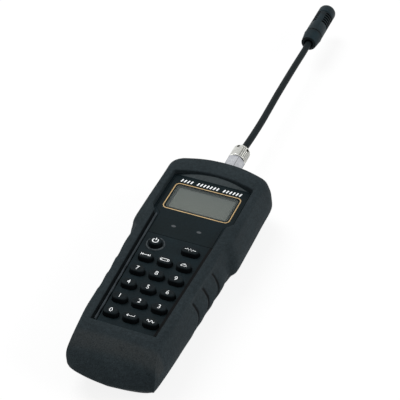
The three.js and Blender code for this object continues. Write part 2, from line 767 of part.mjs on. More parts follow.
// Back housing with the battery bay, its door, the battery and its snap
const bayOuter = solidOf(prism(
  boxShape(-bayHalf - bayWall, bayFoot - bayWall, bayHalf + bayWall, bayHead + bayWall, bayWall),
  doorInner,
  bayTop + bayWall,
));
const bayHollow = solidOf(prism(
  boxShape(-bayHalf, bayFoot, bayHalf, bayHead, bayWall / 2),
  doorFace - cutOverrun,
  bayTop,
));
const doorSeat = solidOf(prism(
  boxShape(-doorHalf, doorFoot, doorHalf, doorHead, doorCorner),
  doorFace - cutOverrun,
  doorInner + seatGap,
));
const backOuter = hollowSolid(doorFace, partingHeight - seatGap / 2, seatGap);
const backInner = hollowSolid(doorFace + backWall, partingHeight + cutOverrun, seatGap + sideWall);
const seatRim = solidOf(prism(
  boxShape(-doorHalf - bayWall, doorFoot - bayWall, doorHalf + bayWall, doorHead + bayWall, doorCorner),
  doorFace,
  doorInner + seatGap + bayWall,
));
const headWells = screwPlaces.map(([x, y]) => (
  boss(x, y, doorFace - cutOverrun, doorFace + screwHeadThickness, screwHeadRadius + seatGap)
));
const screwWells = screwPlaces.map(([x, y]) => (
  boss(x, y, doorFace - cutOverrun, partingHeight, screwRadius + seatGap)
));
const backPads = screwPlaces.map(([x, y]) => (
  boss(x, y, doorFace, bossFoot - seatGap, bossRadius).intersect(backOuter)
));
addPiece('housing_back', geometryOf(cut(
  join(backOuter.subtract(backInner), [bayOuter, seatRim, ...backPads]),
  [bayHollow, doorSeat, ...headWells, ...screwWells],
)), shell);

const doorRibs = [];
for (let i = 0; i < doorRibCount; i += 1) {
  const y = doorHead - doorMargin - doorRibWidth - i * doorRibPitch;
  doorRibs.push(solidOf(prism(
    boxShape(-doorHalf / 3, y - doorRibWidth, doorHalf / 3, y, doorRibWidth / 4),
    doorFace - cutOverrun,
    doorFace + doorRibDepth,
  )));
}
addPiece('battery_door', geometryOf(cut(
  solidOf(prism(
    boxShape(-doorHalf + seatGap, doorFoot + seatGap, doorHalf - seatGap, doorHead - seatGap, doorCorner),
    doorFace,
    doorInner,
  )),
  doorRibs,
)), shell);
const studs = [-1, 1].map((side) => {
  const stud = new THREE.CylinderGeometry(studRadius, studRadius, studHeight * 2, smallSteps);
  return solidOf(stud.translate(side * batteryWidth / 4, batteryHead, (batteryUnder + batteryTop) / 2));
});
addPiece('battery_block', geometryOf(join(
  solidOf(new THREE.ExtrudeGeometry(
    boxShape(-batteryWidth / 2, -batteryDepth / 2, batteryWidth / 2, batteryDepth / 2, batteryCorner),
    { depth: batteryLength, bevelEnabled: false, curveSegments: 3 },
  ).rotateX(Math.PI / 2).translate(0, batteryHead, (batteryUnder + batteryTop) / 2)),
  studs,
)), { color: 0x8b8f92, roughness: 0.4, metalness: 0.3 });
const snapFoot = batteryHead + studHeight + seatGap;
const snapWidth = batteryWidth - snapMargin * 2;
addPiece('battery_snap', new THREE.ExtrudeGeometry(
  boxShape(-snapWidth / 2, -snapDepth / 2, snapWidth / 2, snapDepth / 2, snapCorner),
  { depth: snapThickness, bevelEnabled: false, curveSegments: 3 },
).rotateX(Math.PI / 2).translate(0, snapFoot + snapThickness, (batteryUnder + batteryTop) / 2), keyFinish);

// Case screws, slotted, driven from the back
screwPlaces.forEach(([x, y], i) => {
  const seat = doorFace + screwHeadThickness - seatGap;
  const body = solidOf(new THREE.LatheGeometry([
    [0, seat - screwHeadThickness + seatGap], [screwHeadRadius, seat - screwHeadThickness + seatGap],
    [screwHeadRadius, seat], [screwRadius, seat], [screwRadius, screwTop - screwRadius],
    [screwRadius / 3, screwTop], [0, screwTop],
  ].map(([r, z]) => new THREE.Vector2(r, z)), smallSteps).rotateX(Math.PI / 2));
  const slot = solidOf(new THREE.BoxGeometry(screwHeadRadius * 3, screwSlot, screwSlot * 2)
    .translate(0, 0, seat - screwHeadThickness + seatGap));
  addPiece(`case_screw_${i + 1}`, geometryOf(body.subtract(slot)), steel, [x, y, 0]);
});

// Socket in the head
const socketBoreFoot = socketTip - socketBoreDepth;
addPiece('sensor_socket', turnedGeometry([
  [0, socketTail], [socketTailRadius, socketTail], [socketTailRadius, socketSeat - socketFlangeThickness],
  [socketFlangeRadius, socketSeat - socketFlangeThickness], [socketFlangeRadius, socketSeat],
  [socketRadius, socketSeat], [socketRadius, socketTip], [socketBore, socketTip],
  [socketBore, socketBoreFoot], [0, socketBoreFoot],
]), nickel);
const washerFoot = socketPadTip + seatGap;
addPiece('socket_washer', turnedGeometry([
  [socketRadius + seatGap, washerFoot], [washerRadius, washerFoot],
  [washerRadius, washerFoot + washerThickness], [socketRadius + seatGap, washerFoot + washerThickness],
  [socketRadius + seatGap, washerFoot],
]), steel);

// Hexagon about the probe axis, its corners chamfered at both ends, with round holes
function hexPiece(across, low, high, bores) {
  const hexRadius = across / 2 / Math.cos(Math.PI / 6);
  const hex = new THREE.CylinderGeometry(hexRadius, hexRadius, high - low, 6);
  const turned = new THREE.LatheGeometry([
    [0, low], [across / 2, low], [hexRadius, low + couplingChamfer],
    [hexRadius, high - couplingChamfer], [across / 2, high], [0, high],
  ].map(([r, y]) => new THREE.Vector2(r, y)), turnSteps);
  const blank = solidOf(hex.translate(0, (low + high) / 2, 0)).intersect(solidOf(turned));
  const placed = blank.rotate([0, couplingDegrees, 0]).translate([0, 0, probeHeight]);
  return cut(placed, bores.map(([radius, from, to]) => solidOf(turnedGeometry([
    [0, from], [radius, from], [radius, to], [0, to],
  ]))));
}
const nutFoot = washerFoot + washerThickness + seatGap;
addPiece('socket_nut', geometryOf(hexPiece(
  socketNutAcross,
  nutFoot,
  nutFoot + socketNutThickness,
  [[socketRadius + seatGap, nutFoot - cutOverrun, nutFoot + socketNutThickness + cutOverrun]],
)), nickel);

// Plug: hexagon coupling nut, pin body, knurled sleeve
const collarSeat = couplingTip - couplingCollar;
addPiece('coupling_nut', geometryOf(hexPiece(couplingAcross, couplingFoot, couplingTip, [
  [socketRadius + seatGap, couplingFoot - cutOverrun, collarSeat],
  [couplingNeck + seatGap, collarSeat - cutOverrun, couplingTip + cutOverrun],
])), nickel);
addPiece('plug_body', turnedGeometry([
  [0, plugPinFoot], [plugPinRadius, plugPinFoot], [plugPinRadius, socketTip + seatGap],
  [plugFlangeRadius, socketTip + seatGap], [plugFlangeRadius, collarSeat - seatGap],
  [couplingNeck, collarSeat - seatGap], [couplingNeck, couplingTip + seatGap],
  [plugTailRadius, couplingTip + seatGap], [plugTailRadius, plugTip], [0, plugTip],
]), nickel);
const sleeveOuter = solidOf(turnedGeometry([
  [0, sleeveFoot], [sleeveRadius - knurlDepth, sleeveFoot],
  [sleeveRadius, sleeveFoot + knurlDepth], [sleeveRadius, sleeveTip - sleeveTaper],
  [sleeveEndRadius, sleeveTip], [0, sleeveTip],
]));
const knurls = [];
for (let i = 0; i < knurlCount; i += 1) {
  const angle = (Math.PI * 2 * i) / knurlCount;
  const groove = new THREE.CylinderGeometry(knurlDepth, knurlDepth, knurlLength, 4);
  groove.translate(sleeveRadius, sleeveFoot + knurlDepth * 3 + knurlLength / 2, 0).rotateY(angle);
  knurls.push(solidOf(groove.translate(0, 0, probeHeight)));
}
const sleeveBores = [
  solidOf(turnedGeometry([
    [0, sleeveFoot - cutOverrun], [plugTailRadius + seatGap, sleeveFoot - cutOverrun],
    [plugTailRadius + seatGap, plugTip + seatGap], [0, plugTip + seatGap],
  ])),
  solidOf(turnedGeometry([
    [0, plugTip - cutOverrun], [stemRadius + seatGap, plugTip - cutOverrun],
    [stemRadius + seatGap, sleeveTip + cutOverrun], [0, sleeveTip + cutOverrun],
  ])),
];
// Radial hole for the small screw that grips the stem
function grubSolid(radius, from, to) {
  const geometry = new THREE.CylinderGeometry(radius, radius, to - from, smallSteps);
  return solidOf(geometry.translate(0, (from + to) / 2, 0).rotateX(Math.PI / 2).rotateY(grubAngle)
    .translate(0, sleeveTip - grubMargin, probeHeight));
}
const grubFoot = stemRadius + seatGap * 2;
const grubHole = grubSolid(grubRadius + seatGap, grubFoot, sleeveRadius + cutOverrun);
addPiece('plug_sleeve', geometryOf(cut(sleeveOuter, [...knurls, ...sleeveBores, grubHole])), nickel);
const grubTip = sleeveRadius - grubSink;
addPiece('sleeve_screw', geometryOf(grubSolid(grubRadius, grubFoot + seatGap, grubTip).subtract(
  solidOf(new THREE.BoxGeometry(grubRadius * 3, screwSlot / 2, screwSlot)
    .translate(0, 0, grubTip).rotateY(grubAngle).translate(0, sleeveTip - grubMargin, probeHeight)),
)), steel);

// Bendable stem, slightly bowed to the right as it is carried
const stemRoute = new THREE.CatmullRomCurve3(stemBowShares.map(([along, bow]) => new THREE.Vector3(
  bow * stemBow,
  stemFoot + along * stemLength,
  probeHeight,
)));
const stemSection = new THREE.Shape();
for (let i = 0; i < stemSides; i += 1) {
  const angle = (Math.PI * 2 * i) / stemSides;
  const x = stemRadius * Math.cos(angle);
  const y = stemRadius * Math.sin(angle);
  if (i === 0) stemSection.moveTo(x, y);
  else stemSection.lineTo(x, y);
}
stemSection.closePath();
addPiece('gooseneck', new THREE.ExtrudeGeometry(stemSection, {
  steps: stemSteps, extrudePath: stemRoute, bevelEnabled: false,
}), { color: 0x1c1f21, roughness: 0.7, metalness: 0 });

// Microphone: collar, slotted barrel, cap, and the capsule in its holder
const stemSeat = collarFoot + collarMouthDepth;
const spigotRadius = micRadius - micWall - seatGap;
addPiece('mic_collar', turnedGeometry([
  [collarMouthRadius, collarFoot], [collarFootRadius, collarFoot],
  [collarFootRadius * 1.04, collarFoot + collarLength * 0.4],
  [collarHeadRadius, collarTip - collarLength * 0.1], [collarHeadRadius, collarTip],
  [spigotRadius, collarTip], [spigotRadius, collarTip + spigotLength],
  [spigotRadius - spigotWall, collarTip + spigotLength],
  [spigotRadius - spigotWall, stemTip], [stemRadius + seatGap, stemTip],
  [stemRadius + seatGap, stemSeat], [collarMouthRadius, stemSeat], [collarMouthRadius, collarFoot],
], micShift), micFinish);
const barrelFoot = collarTip + seatGap;
const barrel = solidOf(turnedGeometry([
  [micRadius - micWall, barrelFoot], [micRadius, barrelFoot],
  [micRadius, barrelTip], [micRadius - micWall, barrelTip], [micRadius - micWall, barrelFoot],
], micShift));
const slots = [];
for (let column = 0; column < slotColumns; column += 1) {
  for (let i = 0; i < slotCount; i += 1) {
    const half = Math.PI * slotSpanShare;
    const reach = micRadius + cutOverrun;
    const sector = new THREE.Shape();
    sector.moveTo(0, 0);
    sector.lineTo(reach * Math.cos(half), -reach * Math.sin(half));
    sector.lineTo(reach * 1.4, -reach * 0.5);
    sector.lineTo(reach * 1.4, reach * 0.5);
    sector.lineTo(reach * Math.cos(half), reach * Math.sin(half));
    sector.closePath();
    const slot = new THREE.ExtrudeGeometry(sector, { depth: slotWidth, bevelEnabled: false });
    slot.rotateX(-Math.PI / 2).rotateY((Math.PI * 2 * column) / slotColumns);
    slots.push(solidOf(slot.translate(micShift, slotFoot + i * slotPitch, probeHeight)));
  }
}
addPiece('mic_barrel', geometryOf(cut(barrel, slots)), micFinish);
const capFoot = barrelTip + seatGap;
addPiece('mic_cap', turnedGeometry([
  [0, barrelTip - spigotLength], [spigotRadius, barrelTip - spigotLength],
  [spigotRadius, capFoot], [micRadius, capFoot], [micRadius * 0.975, micTip - capRound],
  [micRadius - capRound * 0.3, micTip - capRound * 0.3], [micRadius - capRound, micTip], [0, micTip],
], micShift), micFinish);
addPiece('capsule_holder', turnedGeometry([
  [holderWireRadius, capsuleFoot - seatGap - holderLength],
  [spigotRadius, capsuleFoot - seatGap - holderLength],
  [spigotRadius, capsuleFoot - seatGap], [holderWireRadius, capsuleFoot - seatGap],
  [holderWireRadius, capsuleFoot - seatGap - holderLength],
], micShift), keyFinish);
addPiece('mic_capsule', turnedGeometry([
  [0, capsuleFoot], [capsuleRadius, capsuleFoot], [capsuleRadius, capsuleFoot + capsuleLength],
  [capsuleRadius / 2, capsuleFoot + capsuleLength],
  [capsuleRadius / 2, capsuleFoot + capsuleLength * 0.9], [0, capsuleFoot + capsuleLength * 0.9],
], micShift), steel);

export default instrument;
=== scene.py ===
import json
import math

import bmesh
import bpy
from mathutils import Matrix, Vector
from mathutils.bvhtree import BVHTree
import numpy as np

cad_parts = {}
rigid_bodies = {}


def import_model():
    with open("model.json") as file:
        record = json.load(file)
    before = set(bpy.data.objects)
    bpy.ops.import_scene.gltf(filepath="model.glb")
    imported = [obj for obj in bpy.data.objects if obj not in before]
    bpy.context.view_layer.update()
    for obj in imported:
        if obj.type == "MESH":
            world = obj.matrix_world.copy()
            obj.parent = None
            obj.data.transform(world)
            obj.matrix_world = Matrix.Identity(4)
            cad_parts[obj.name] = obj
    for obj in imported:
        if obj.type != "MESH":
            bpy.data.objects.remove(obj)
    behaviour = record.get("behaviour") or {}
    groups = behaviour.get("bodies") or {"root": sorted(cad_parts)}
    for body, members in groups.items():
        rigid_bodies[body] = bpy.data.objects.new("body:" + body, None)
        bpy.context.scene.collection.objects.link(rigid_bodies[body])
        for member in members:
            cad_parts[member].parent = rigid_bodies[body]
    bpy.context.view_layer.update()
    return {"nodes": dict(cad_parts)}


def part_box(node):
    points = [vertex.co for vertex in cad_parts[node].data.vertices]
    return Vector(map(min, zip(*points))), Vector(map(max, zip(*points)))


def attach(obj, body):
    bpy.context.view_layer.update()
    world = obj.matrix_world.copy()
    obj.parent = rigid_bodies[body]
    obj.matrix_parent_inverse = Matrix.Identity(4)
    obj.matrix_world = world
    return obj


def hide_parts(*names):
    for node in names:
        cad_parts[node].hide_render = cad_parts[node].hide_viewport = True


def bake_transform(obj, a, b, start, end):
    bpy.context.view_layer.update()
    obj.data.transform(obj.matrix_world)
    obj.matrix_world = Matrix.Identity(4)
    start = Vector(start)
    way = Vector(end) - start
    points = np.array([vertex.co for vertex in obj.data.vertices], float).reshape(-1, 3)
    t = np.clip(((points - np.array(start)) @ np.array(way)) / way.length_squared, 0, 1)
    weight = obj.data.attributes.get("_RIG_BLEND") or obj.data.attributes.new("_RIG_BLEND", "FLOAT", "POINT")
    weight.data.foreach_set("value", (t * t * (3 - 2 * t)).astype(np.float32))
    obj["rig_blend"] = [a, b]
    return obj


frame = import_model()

mm = 0.001
probeHeight = 22.4  # of the probe's axis over the boot's back
scene = bpy.context.scene
scene.view_settings.view_transform = "Standard"

# Everything below is drawn in millimetres and shrunk to metres when a piece is finished.
# +X is right of the keypad, +Y runs to the microphone, +Z leaves the display.


def tone(red, green, blue):
    # a screen tone, 0 to 255, as a linear colour
    def linear(value):
        value = value / 255
        return value / 12.92 if value <= 0.04045 else ((value + 0.055) / 1.055) ** 2.4

    return (linear(red), linear(green), linear(blue), 1)


def addObject(name, data):
    obj = bpy.data.objects.new(name, data)
    scene.collection.objects.link(obj)
    return obj


def aimed(place, target):
    # where a camera or a lamp stands, turned to its target
    place = Vector(place) * mm
    aim = Vector(target) * mm - place
    return Matrix.Translation(place) @ aim.to_track_quat("-Z", "Y").to_matrix().to_4x4()


# Camera
camera = {
    "place": (261.56, -600.01, 643.90),
    "target": (-2.36, 56.49, 35.3),
    "lens": 127.0,
    "sensor": 36,
    "reach": 20,  # in metres
}


def addCamera():
    data = bpy.data.cameras.new("photoCamera")
    data.sensor_width = camera["sensor"]
    data.lens = camera["lens"]
    data.clip_end = camera["reach"]
    scene.camera = addObject("photoCamera", data)
    scene.camera.matrix_world = aimed(camera["place"], camera["target"])


addCamera()
print("camera placed")


# Materials
made = {}


def newMaterial(name):
    material = bpy.data.materials.new(name)
    material.use_nodes = True
    made[name] = material
    return material.node_tree, material.node_tree.nodes["Principled BSDF"]


def setInputs(tree, node, inputs):
    # links each input whose value comes from another node, and sets the others
    for name, value in inputs.items():
        if isinstance(value, bpy.types.NodeSocket):
            tree.links.new(value, node.inputs[name])
        else:
            node.inputs[name].default_value = value
    return node


def addNode(tree, kind, inputs={}, **settings):
    node = tree.nodes.new("ShaderNode" + kind)
    for name, value in settings.items():
        setattr(node, name, value)
    return setInputs(tree, node, inputs)


def objectPlace(tree):
    return addNode(tree, "TexCoord").outputs["Object"]


def addNoise(tree, size, detail=3, stretch=(1, 1, 1)):
    # noise whose lumps are about size mm wide
    mapping = addNode(tree, "Mapping", {"Vector": objectPlace(tree), "Scale": stretch})
    inputs = {"Vector": mapping.outputs["Vector"], "Scale": 1 / (size * mm), "Detail": detail}
    return addNode(tree, "TexNoise", inputs).outputs["Fac"]


def addRamp(tree, source, stops):
    ramp = addNode(tree, "ValToRGB", {"Fac": source})
    while len(ramp.color_ramp.elements) < len(stops):
        ramp.color_ramp.elements.new(0.5)
    for element, (place, colour) in zip(ramp.color_ramp.elements, stops):
        element.position = place
        element.color = colour
    return ramp.outputs["Color"]


def addRange(tree, source, toLow, toHigh, low=0.3, high=0.7):
    # a source stretched to a new range; most of a noise lies between 0.3 and 0.7
    inputs = {"Value": source, "From Min": low, "From Max": high, "To Min": toLow, "To Max": toHigh}
    return addNode(tree, "MapRange", inputs).outputs["Result"]


def addMix(tree, share, first, second, blend="MIX"):
    mix = addNode(tree, "Mix", data_type="RGBA", blend_type=blend)
    return setInputs(tree, mix, {0: share, 6: first, 7: second}).outputs[2]


def addMath(tree, operation, first, second):
    return addNode(tree, "Math", {0: first, 1: second}, operation=operation).outputs[0]


def addBump(tree, height, strength, depth):
    inputs = {"Height": height, "Strength": strength, "Distance": depth * mm}
    return addNode(tree, "Bump", inputs).outputs["Normal"]


def addPainted(tree, name):
    # the share that paintSkin leaves on a piece
    return addNode(tree, "Attribute", attribute_name=name).outputs["Fac"]


def finishMaterial(name, values):
    # moulded or metal: blotches, fine grain or tooling marks, painted shade and a lighter band where the mesh
    # carries their shares, uneven gloss
    tree, shader = newMaterial(name)
    blotch = addNoise(tree, values["blotch"])
    grain = addNoise(tree, values["grain"], values["detail"], values["stretch"])
    colour = addRamp(tree, blotch, [(0.3, tone(*values["dark"])), (0.7, tone(*values["light"]))])
    if "speck" in values:
        mottle = addNoise(tree, values["mottle"], values["detail"])
        for lumps, spread in ((grain, values["speck"]), (mottle, values["mottleSpread"])):
            speck = addRange(tree, lumps, 1 - spread, 1 + spread)
            colour = addMix(tree, 1.0, colour, speck, "MULTIPLY")
    # painted shade: a darker tone wherever the piece's mesh carries a painted-shade share
    if "crease" in values:
        colour = addMix(tree, addPainted(tree, "crease"), colour, tone(*values["crease"]))
    # a lighter band, broken up by the grain, where the mesh carries its share
    if "scuff" in values:
        broken = addRange(tree, grain, 0.35, 1, 0.35, 0.6)
        share = addMath(tree, "MULTIPLY", addPainted(tree, "scuff"), broken)
        colour = addMix(tree, share, colour, tone(*values["scuff"]))
    setInputs(tree, shader, {
        "Base Color": colour,
        "Metallic": values["metallic"],
        "Roughness": addRange(tree, grain if values["metallic"] else blotch, *values["roughness"]),
        "Specular IOR Level": values["shine"],
        "Normal": addBump(tree, grain, values["bump"], values["grain"] * values["depth"]),
    })


# dark and light tone, size of the blotches and the grain, speck, roughness, shine, bump
finishParts = ("dark", "light", "blotch", "grain", "speck", "roughness", "shine", "bump")
finishes = {
    "rubber": ((28, 35, 38), (36, 43, 46), 20, 0.7, 0.25, (0.62, 0.78), 0.05, 0.8),
    "housing": ((13, 22, 25), (19, 29, 33), 14, 0.4, 0.2, (0.5, 0.62), 0.05, 0.35),
    "plate": ((11, 20, 22), (15, 25, 29), 30, 0.3, 0.08, (0.42, 0.5), 0.05, 0.1),
    "browFace": ((40, 46, 48), (48, 55, 57), 9, 0.4, 0.12, (0.45, 0.55), 0.08, 0.2),
    "railEdge": ((43, 49, 53), (53, 59, 63), 9, 0.3, 0.1, (0.45, 0.55), 0.08, 0.15),
    "ringFace": ((30, 36, 39), (74, 80, 83), 4, 0.3, 0.1, (0.45, 0.55), 0.08, 0.15),
    "keys": ((12, 18, 20), (17, 24, 27), 6, 0.3, 0.15, (0.5, 0.62), 0.05, 0.3),
    "stemSkin": ((12, 18, 20), (18, 25, 27), 12, 0.35, 0.2, (0.48, 0.6), 0.08, 0.35),
    "micShell": ((14, 25, 29), (22, 35, 40), 6, 0.3, 0.15, (0.42, 0.55), 0.08, 0.3),
    "darkPart": ((7, 8, 9), (11, 13, 14), 8, 0.3, 0.1, (0.55, 0.7), 0.05, 0.2),
    "diffuser": ((196, 203, 198), (214, 219, 214), 9, 0.3, 0.03, (0.4, 0.5), 0.4, 0.1),
    "silicone": ((27, 29, 31), (34, 37, 39), 7, 0.35, 0.08, (0.6, 0.7), 0.3, 0.2),
    "battery": ((38, 40, 44), (52, 55, 60), 14, 0.3, 0.05, (0.3, 0.38), 0.5, 0.08),
}
# the mottle's size, the tone of painted shade and the tone of the foot's lighter band, where a finish has its
# own
finishExtras = {
    "rubber": {"mottle": 2.2, "crease": (3, 4, 5), "scuff": (52, 53, 52)},
    "keys": {"crease": (8, 11, 13)},
    "stemSkin": {"crease": (3, 4, 4)},
    "micShell": {"crease": (3, 4, 4)},
}
# dark, light and painted-shade tone, size of the tooling marks, roughness, relief as a share of that size
metalParts = ("dark", "light", "crease", "grain", "roughness", "depth")
metals = {
    "nickel": ((160, 162, 168), (188, 190, 193), (92, 93, 90), 0.5, (0.2, 0.36), 0.1),
    "sleeveNickel": ((178, 179, 175), (210, 210, 204), (78, 78, 70), 0.5, (0.18, 0.34), 0.1),
    "steel": ((120, 122, 124), (150, 152, 153), (30, 31, 31), 0.4, (0.25, 0.42), 0.125),
}
mouldedBase = {"detail": 2, "stretch": (1, 1, 1), "mottle": 1.6, "mottleSpread": 0.16, "depth": 0.25,
               "metallic": 0}
metalBase = {"blotch": 3, "detail": 3, "stretch": (0.25, 4, 0.25), "shine": 0.5, "bump": 0.3, "metallic": 1}
for base, parts, rows in ((mouldedBase, finishParts, finishes), (metalBase, metalParts, metals)):
    for name, row in rows.items():
        finishMaterial(name, {**base, **dict(zip(parts, row)), **finishExtras.get(name, {})})


def paintMaterial(name, colour, roughness):
    # printed ink, a little uneven in its cover
    tree, shader = newMaterial(name)
    cover = addNoise(tree, 0.7)
    patch = tuple(channel * 0.82 for channel in tone(*colour)[:3]) + (1,)
    setInputs(tree, shader, {
        "Base Color": addRamp(tree, cover, [(0.3, patch), (0.6, tone(*colour))]),
        "Roughness": addRange(tree, cover, roughness, roughness + 0.1),
    })


for name, colour, roughness in (("whiteInk", (236, 239, 240), 0.5), ("goldInk", (180, 150, 100), 0.35),
                                ("greyInk", (32, 40, 45), 0.5)):
    paintMaterial(name, colour, roughness)


def screenMaterial():
    # the reflective display: grey-green, darker along the head edge where the bezel shades it
    tree, shader = newMaterial("screen")
    along = addNode(tree, "SeparateXYZ", {"Vector": objectPlace(tree)}).outputs["Y"]
    shade = addRange(tree, along, 0, 1, 43 * mm, 66 * mm)
    colour = addRamp(tree, shade, [(0, tone(77, 81, 75)), (0.75, tone(72, 77, 73)), (1, tone(65, 69, 68))])
    mottle = addRange(tree, addNoise(tree, 4), 0.97, 1.03)
    setInputs(tree, shader, {
        "Base Color": addMix(tree, 1.0, colour, mottle, "MULTIPLY"),
        "Roughness": 0.4,
        "Specular IOR Level": 0.15,
    })


def windowMaterial():
    tree, shader = newMaterial("clearWindow")
    smear = addNoise(tree, 9)
    setInputs(tree, shader, {
        "Base Color": tone(150, 158, 155),
        "Alpha": 0.1,
        "Specular IOR Level": 0.18,
        "Roughness": addRange(tree, smear, 0.04, 0.14, 0.4, 0.7),
    })


def boardMaterial():
    # green solder mask over faint tracks
    tree, shader = newMaterial("circuitBoard")
    tracks = addNode(tree, "TexBrick", {
        "Vector": objectPlace(tree),
        "Scale": 1 / (9 * mm),
        "Mortar Size": 0.05,
        "Color1": tone(24, 84, 48),
        "Color2": tone(28, 92, 54),
        "Mortar": tone(52, 122, 74),
    })
    setInputs(tree, shader, {"Base Color": tracks.outputs["Color"], "Roughness": 0.45})


screenMaterial()
windowMaterial()
boardMaterial()
print("materials made:", len(made))

# The finish of every CAD node that stays
nodeFinish = {
    "housing": ["housing_front", "housing_back", "battery_door"],
    "plate": ["display_panel"],
    "clearWindow": ["display_window"],
    "screen": ["lcd_glass"],
    "darkPart": ["lcd_bezel", "beeper", "capsule_holder", "mic_capsule"],
    "diffuser": ["lcd_backlight"],
    "silicone": ["keypad_mat", "zebra_strip"],
    "circuitBoard": ["main_board"],
    "battery": ["battery_block", "battery_snap"],
    "nickel": ["sensor_socket", "socket_washer", "socket_nut", "plug_body"],
    "steel": ["case_screw_1", "case_screw_2", "case_screw_3", "case_screw_4", "sleeve_screw"],
}
for finish, names in nodeFinish.items():
    for name in names:
        for place in frame["nodes"][name].material_slots:
            place.material = made[finish]


# Mesh tools
def meshFrom(name, bm):
    # the mesh of a bmesh, which is used up
    mesh = bpy.data.meshes.new(name)
    bm.to_mesh(mesh)
    bm.free()
    return mesh


def finishPiece(name, bm, finish, body=None, replaced=(), sharp=35):
    # shrinks a bmesh to metres and makes it a piece that stands where its mesh puts it
    bmesh.ops.scale(bm, vec=(mm, mm, mm), verts=bm.verts)
    mesh = meshFrom(name, bm)
    mesh.materials.append(made[finish])
    mesh.polygons.foreach_set("use_smooth", [True] * len(mesh.polygons))
    mesh.set_sharp_from_angle(angle=math.radians(sharp))
    obj = addObject(name, mesh)
    if body:
        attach(obj, body)
    if replaced:
        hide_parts(*replaced)
    return obj


def readBack(*objects):
    # the first object with its modifiers as a bmesh; all of them are used up
    found = objects[0].evaluated_get(bpy.context.evaluated_depsgraph_get())
    mesh = bpy.data.meshes.new_from_object(found)
    bm = bmesh.new()
    bm.from_mesh(mesh)
    bpy.data.batch_remove([mesh] + [obj.data for obj in objects] + list(objects))
    return bm


def combine(bm, tool, operation):
    objects = [addObject("boolean", meshFrom("boolean", part)) for part in (bm, tool)]
    modifier = objects[0].modifiers.new("boolean", "BOOLEAN")
    modifier.object = objects[1]
    modifier.operation = operation
    modifier.solver = "EXACT"
    return readBack(*objects)


def cleaned(bm, gap=0.0005):
    # joins points that meet and turns the faces outwards
    bmesh.ops.remove_doubles(bm, verts=bm.verts, dist=gap)
    bmesh.ops.recalc_face_normals(bm, faces=bm.faces)
    return bm


def lathe(profile, steps, closed=False):
    # rows of (radius, place along the axis) turned about +Z
    bm = bmesh.new()
    points = [bm.verts.new((radius, 0, along)) for radius, along in profile]
    edges = [bm.edges.new(pair) for pair in zip(points, points[1:])]
    if closed:
        edges.append(bm.edges.new((points[-1], points[0])))
    bmesh.ops.spin(bm, geom=points + edges, cent=(0, 0, 0), axis=(0, 0, 1), angle=math.tau,
                   steps=steps, use_merge=True)
    return cleaned(bm, 0.001)


def addMesh(bm, other):
    mesh = meshFrom("joined", other)
    bm.from_mesh(mesh)
    bpy.data.meshes.remove(mesh)


def capped(bm):
    # fills the open ends of a loft
    bmesh.ops.holes_fill(bm, edges=[edge for edge in bm.edges if edge.is_boundary], sides=0)
    bmesh.ops.recalc_face_normals(bm, faces=bm.faces)
    return bm


def toProbe(bm, shift=0):
    # stands a turned piece on the probe's axis
    turn = Matrix.Translation((shift, 0, probeHeight)) @ Matrix.Rotation(-math.pi / 2, 4, "X")
    bmesh.ops.transform(bm, matrix=turn, verts=bm.verts)
    return bm


def raised(bm, face, lift):
    grown = bmesh.ops.extrude_discrete_faces(bm, faces=[face])["faces"][0]
    bmesh.ops.translate(bm, vec=(0, 0, lift), verts=list(grown.verts))
    return grown


def roundEdges(bm, edges, width, segments):
    bmesh.ops.bevel(bm, geom=edges, offset=width, segments=segments, profile=0.5, affect="EDGES", material=-1)


def addBevel(obj, width, angle):
    bevel = obj.modifiers.new("edge", "BEVEL")
    bevel.width = width * mm
    bevel.segments = 2
    bevel.limit_method = "ANGLE"
    bevel.angle_limit = math.radians(angle)


def paintSkin(bm, name, shareAt):
    # leaves a share on every vertex, for the material to read
    layer = bm.verts.layers.float.new(name)
    for vert in bm.verts:
        vert[layer] = shareAt(vert.co)


def loft(rings):
    # a skin over rings of equal count, each grown from the last
    bm = bmesh.new()
    order = bm.verts.layers.int.new("order")
    first = [bm.verts.new(point) for point in rings[0]]
    for index, vert in enumerate(first):
        vert[order] = index
    edges = [bm.edges.new((first[index - 1], first[index])) for index in range(len(first))]
    for ring in rings[1:]:
        grown = bmesh.ops.extrude_edge_only(bm, edges=edges)["geom"]
        verts = [part for part in grown if isinstance(part, bmesh.types.BMVert)]
        fresh = set(verts)
        for vert in verts:
            vert.co = ring[vert[order]]
        edges = [part for part in grown if isinstance(part, bmesh.types.BMEdge) and set(part.verts) <= fresh]
    return bm


def easyRow(knots, rows, place):
    # monotone cubic through rows of values
    index = max(0, min(len(knots) - 2, sum(knot <= place for knot in knots) - 1))
    width = knots[index + 1] - knots[index]
    share = (place - knots[index]) / width
    result = []
    for column in range(len(rows[0])):
        def rise(at):
            return (rows[at + 1][column] - rows[at][column]) / (knots[at + 1] - knots[at])

        def slope(at):
            if at == 0:
                return rise(0)
            if at == len(knots) - 1:
                return rise(at - 1)
            before, after = rise(at - 1), rise(at)
            return 2 * before * after / (before + after) if before * after > 0 else 0

        low, gain = rows[index][column], rows[index + 1][column] - rows[index][column]
        first, last = slope(index) * width, slope(index + 1) * width
        square = 3 * gain - 2 * first - last
        cube = first + last - 2 * gain
        result.append(low + share * (first + share * (square + share * cube)))
    return result


def easyCurve(rows, place):
    # the same through rows of (place, value), flat beyond their ends
    place = max(rows[0][0], min(rows[-1][0], place))
    return easyRow([row[0] for row in rows], [row[1:] for row in rows], place)[0]


def ease(low, high, value):
    # 0 at low, 1 at high, also where high is the lesser
    share = max(0, min(1, (value - low) / (high - low)))
    return share * share * (3 - 2 * share)


